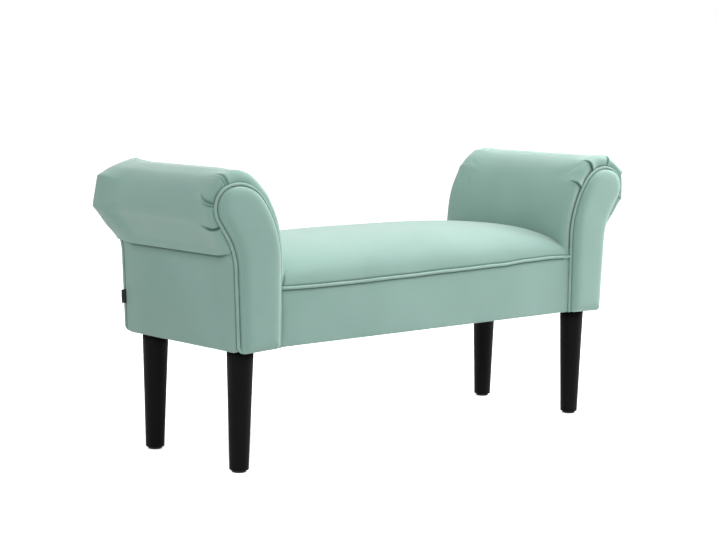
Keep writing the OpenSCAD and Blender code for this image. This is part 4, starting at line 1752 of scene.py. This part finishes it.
@dataclass
class Underside:
    """The stretched dust cover and its staples."""

    half_x: float = 0.44529
    half_y: float = 0.14725
    z: float = 0.2102
    cloth_t: float = 0.0006
    hole_r: float = 0.0242
    staple: Triple = (0.010, 0.0012, 0.0008)
    staple_round: float = 0.0003
    staple_in: float = 0.006
    staple_drop: float = 0.0007
    reach: Pair = (0.42, 0.07)
    pitch: float = 0.045

    def cloth(self, legs: Legs) -> None:
        """Builds the dust cover round the legs.

        Args:
            legs: the legs that it is cut out for.
        """
        mesh = bmesh.new()
        corners = [(-1, -1), (1, -1), (1, 1), (-1, 1)]
        verts = [mesh.verts.new((a * self.half_x, b * self.half_y, self.z)) for a, b in corners]
        edges = [mesh.edges.new(pair) for pair in zip(verts, verts[1:] + verts[:1])]
        for side, face in product(Side, Face):
            made = bmesh.ops.create_circle(
                mesh, cap_ends=False, segments=40, radius=self.hole_r,
                matrix=Matrix.Translation((legs.x * side.value, legs.y * face.value, self.z)))
            edges += list({e for v in made["verts"] for e in v.link_edges})
        bmesh.ops.triangle_fill(mesh, edges=edges, use_beauty=True)
        bmesh.ops.recalc_face_normals(mesh, faces=mesh.faces)
        if sum(f.normal.z for f in mesh.faces) > 0:
            bmesh.ops.reverse_faces(mesh, faces=mesh.faces)
        area = sum(f.calc_area() for f in mesh.faces)
        cloth = Builder.finish(mesh, "dust_cloth", DUST_CLOTH, ["dust_cover"], smooth=False)
        Builder.solidify(cloth, self.cloth_t)

    def staples(self) -> None:
        """Builds the staples along the dust cover's edges."""
        reach_x, reach_y = self.reach
        edge_x, edge_y = self.half_x - self.staple_in, self.half_y - self.staple_in
        spots = []
        for x in spread(-reach_x, reach_x, round(2 * reach_x / self.pitch)):
            spots += [(x, -edge_y, 0.0), (x, edge_y, 0.0)]
        for y in spread(-reach_y, reach_y, 3):
            spots += [(-edge_x, y, 90.0), (edge_x, y, 90.0)]
        mesh = bmesh.new()
        for x, y, turn in spots:
            place = (
                Matrix.Translation((x, y, self.z - self.staple_drop))
                @ Matrix.Rotation(math.radians(turn), 4, "Z")
                @ Matrix.Diagonal((*self.staple, 1.0)))
            bmesh.ops.create_cube(mesh, size=1.0, matrix=place)
        bmesh.ops.bevel(
            mesh, geom=mesh.edges[:], offset=self.staple_round, affect="EDGES", segments=2,
            profile=0.5, material=-1)
        Builder.finish(mesh, "dust_cloth_staples", STEEL)


@dataclass
class SideTag:
    """A bare folded tape in the rear seam of the left arm."""

    height: float = 0.024
    out: float = 0.009
    sewn_in: float = 0.002
    z: float = 0.2585
    y: float = 0.1530
    root_out: float = 0.0012
    half: float = 0.00065
    tape_t: float = 0.0004
    wave: float = 0.0005

    def build(self) -> None:
        """Builds the folded tape."""
        path = [(self.sewn_in, -self.half), (-self.out * 0.5, -self.half)]
        path += bend((self.half - self.out, 0.0), self.half, 270.0, 90.0, 6)
        path += [(-self.out * 0.5, self.half), (self.sewn_in, self.half)]

        def place(k: float, z: float) -> Vector:
            """Gives a point of the tape, which leans as the arm's wall does.

            Args:
                k: the number of the path's point.
                z: the height.

            Returns:
                The point.
            """
            x, y = path[round(k)]
            wave = self.wave * math.sin((z - self.z) / self.height * math.pi)
            return Vector((x - OUTLINE.wall_x(z) - self.root_out, self.y + y + wave, z))

        mesh = Builder.grid(
            [float(k) for k in range(len(path))], spread(self.z, self.z + self.height, 10), place)
        piece = Builder.finish(mesh, "side_tag_tape", TAPE, ["side_tag"])
        Builder.solidify(piece, self.tape_t, 0.0)


class InnerFrame:
    """The wood, board and steel inside, which stay as the CAD nodes with better materials."""

    def dress(self) -> None:
        """Gives every CAD node that is still shown its own finish."""
        for name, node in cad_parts.items():
            if node.hide_render:
                continue
            finish = next(f for part, f in INNER_FINISHES if part in name)
            node.data.materials.clear()
            node.data.materials.append(finish.material())
            log.info("%s: dressed as %s", name, finish.name)


# Surroundings


@dataclass
class Studio:
    """The camera, the lamps and the pale floor.

    A lamp is a soft square one that points at aim: its name, place, size and power.
    """

    focal: float = 1835.832
    place: Triple = (-2.318404, -2.465940, 0.696865)
    yaw: float = 0.744536
    pitch: float = 0.116769
    roll: float = 0.016506
    width: int = 716
    sensor: float = 36.0
    aim: Triple = (0.0, 0.0, 0.3)
    lamps: tuple[tuple[str, Triple, float, float], ...] = (
        ("key", (3.0, -0.65, 1.8), 1.8, 80.0), ("high", (2.0, -0.2, 2.4), 1.6, 58.0),
        ("top", (0.2, -0.5, 2.75), 2.2, 25.0), ("fill", (-3.0, -0.9, 1.4), 2.0, 15.0))
    surroundings: float = 0.54
    floor_shade: float = 0.7
    floor_glow: float = 0.80

    def camera(self) -> None:
        """Sets the camera where the photograph's was."""
        ahead = Vector((
            math.sin(self.yaw) * math.cos(self.pitch), math.cos(self.yaw) * math.cos(self.pitch),
            -math.sin(self.pitch)))
        level = Vector((math.cos(self.yaw), -math.sin(self.yaw), 0.0))
        up = level.cross(ahead)
        right = level * math.cos(self.roll) + up * math.sin(self.roll)
        top = up * math.cos(self.roll) - level * math.sin(self.roll)
        data = bpy.data.cameras.new("camera")
        data.sensor_width = self.sensor
        data.lens = self.focal * self.sensor / self.width
        data.clip_end = 50.0
        camera = show("camera", data)
        turn = Matrix((right, top, -ahead)).transposed()
        camera.matrix_world = Matrix.Translation(self.place) @ turn.to_4x4()
        bpy.context.scene.camera = camera

    def light(self) -> None:
        """Adds the lamps."""
        for name, place, size, power in self.lamps:
            data = bpy.data.lights.new(name, "AREA")
            data.size = size
            data.energy = power
            turn = (Vector(self.aim) - Vector(place)).to_track_quat("-Z", "Y").to_matrix()
            show(name, data).matrix_world = Matrix.Translation(place) @ turn.to_4x4()

    @staticmethod
    def _seen(sketch: Sketch) -> Socket:
        """Gives 1 where a ray comes from the camera, a mirror or a clear pane.

        Args:
            sketch: the world's or the floor's nodes.

        Returns:
            The share, 0 or 1.
        """
        ray = sketch.add("ShaderNodeLightPath").outputs
        glossy = sketch.math("MAXIMUM", ray["Is Camera Ray"], ray["Is Glossy Ray"])
        return sketch.math("MAXIMUM", glossy, ray["Is Transmission Ray"])

    def world(self) -> None:
        """Makes the white surroundings, which light the bench less than they show."""
        world = bpy.data.worlds.new("studio")
        bpy.context.scene.world = world
        world.use_nodes = True
        sketch = Sketch(world.node_tree)
        strength = sketch.math(
            "MULTIPLY_ADD", self._seen(sketch), 1.0 - self.surroundings, self.surroundings)
        sketch.fill(
            world.node_tree.nodes["Background"],
            {"Color": (1.0, 1.0, 1.0, 1.0), "Strength": strength})

    def floor(self) -> None:
        """Lays the pale floor, which keeps the bench's shadow."""
        mesh = bmesh.new()
        bmesh.ops.create_grid(mesh, x_segments=2, y_segments=2, size=20.0)
        data = bpy.data.meshes.new("floor")
        mesh.to_mesh(data)
        mesh.free()
        made = bpy.data.materials.new("studio_floor")
        made.use_nodes = True
        sketch = Sketch(made.node_tree)
        shade = self.floor_shade
        sketch.fill(made.node_tree.nodes["Principled BSDF"], {
            "Base Color": (shade, shade, shade, 1.0), "Roughness": 1.0, "Specular IOR Level": 0.0,
            "Emission Color": (1.0, 1.0, 1.0, 1.0),
            "Emission Strength": sketch.math("MULTIPLY", self._seen(sketch), self.floor_glow)})
        data.materials.append(made)
        show("floor", data)

    def build(self) -> None:
        """Builds the whole studio."""
        self.camera()
        self.world()
        self.floor()
        self.light()
        bpy.context.scene.view_settings.view_transform = "Standard"


def main() -> None:
    """Builds the bench over its frame, in order."""
    logging.basicConfig(level=logging.INFO, format="%(name)s: %(message)s")
    Studio().build()
    Seat().build()
    for side in Side:
        RolledArm(side).build()
    legs = Legs()
    legs.build()
    underside = Underside()
    underside.cloth(legs)
    underside.staples()
    SideTag().build()
    InnerFrame().dress()


if __name__ == "__main__":
    main()
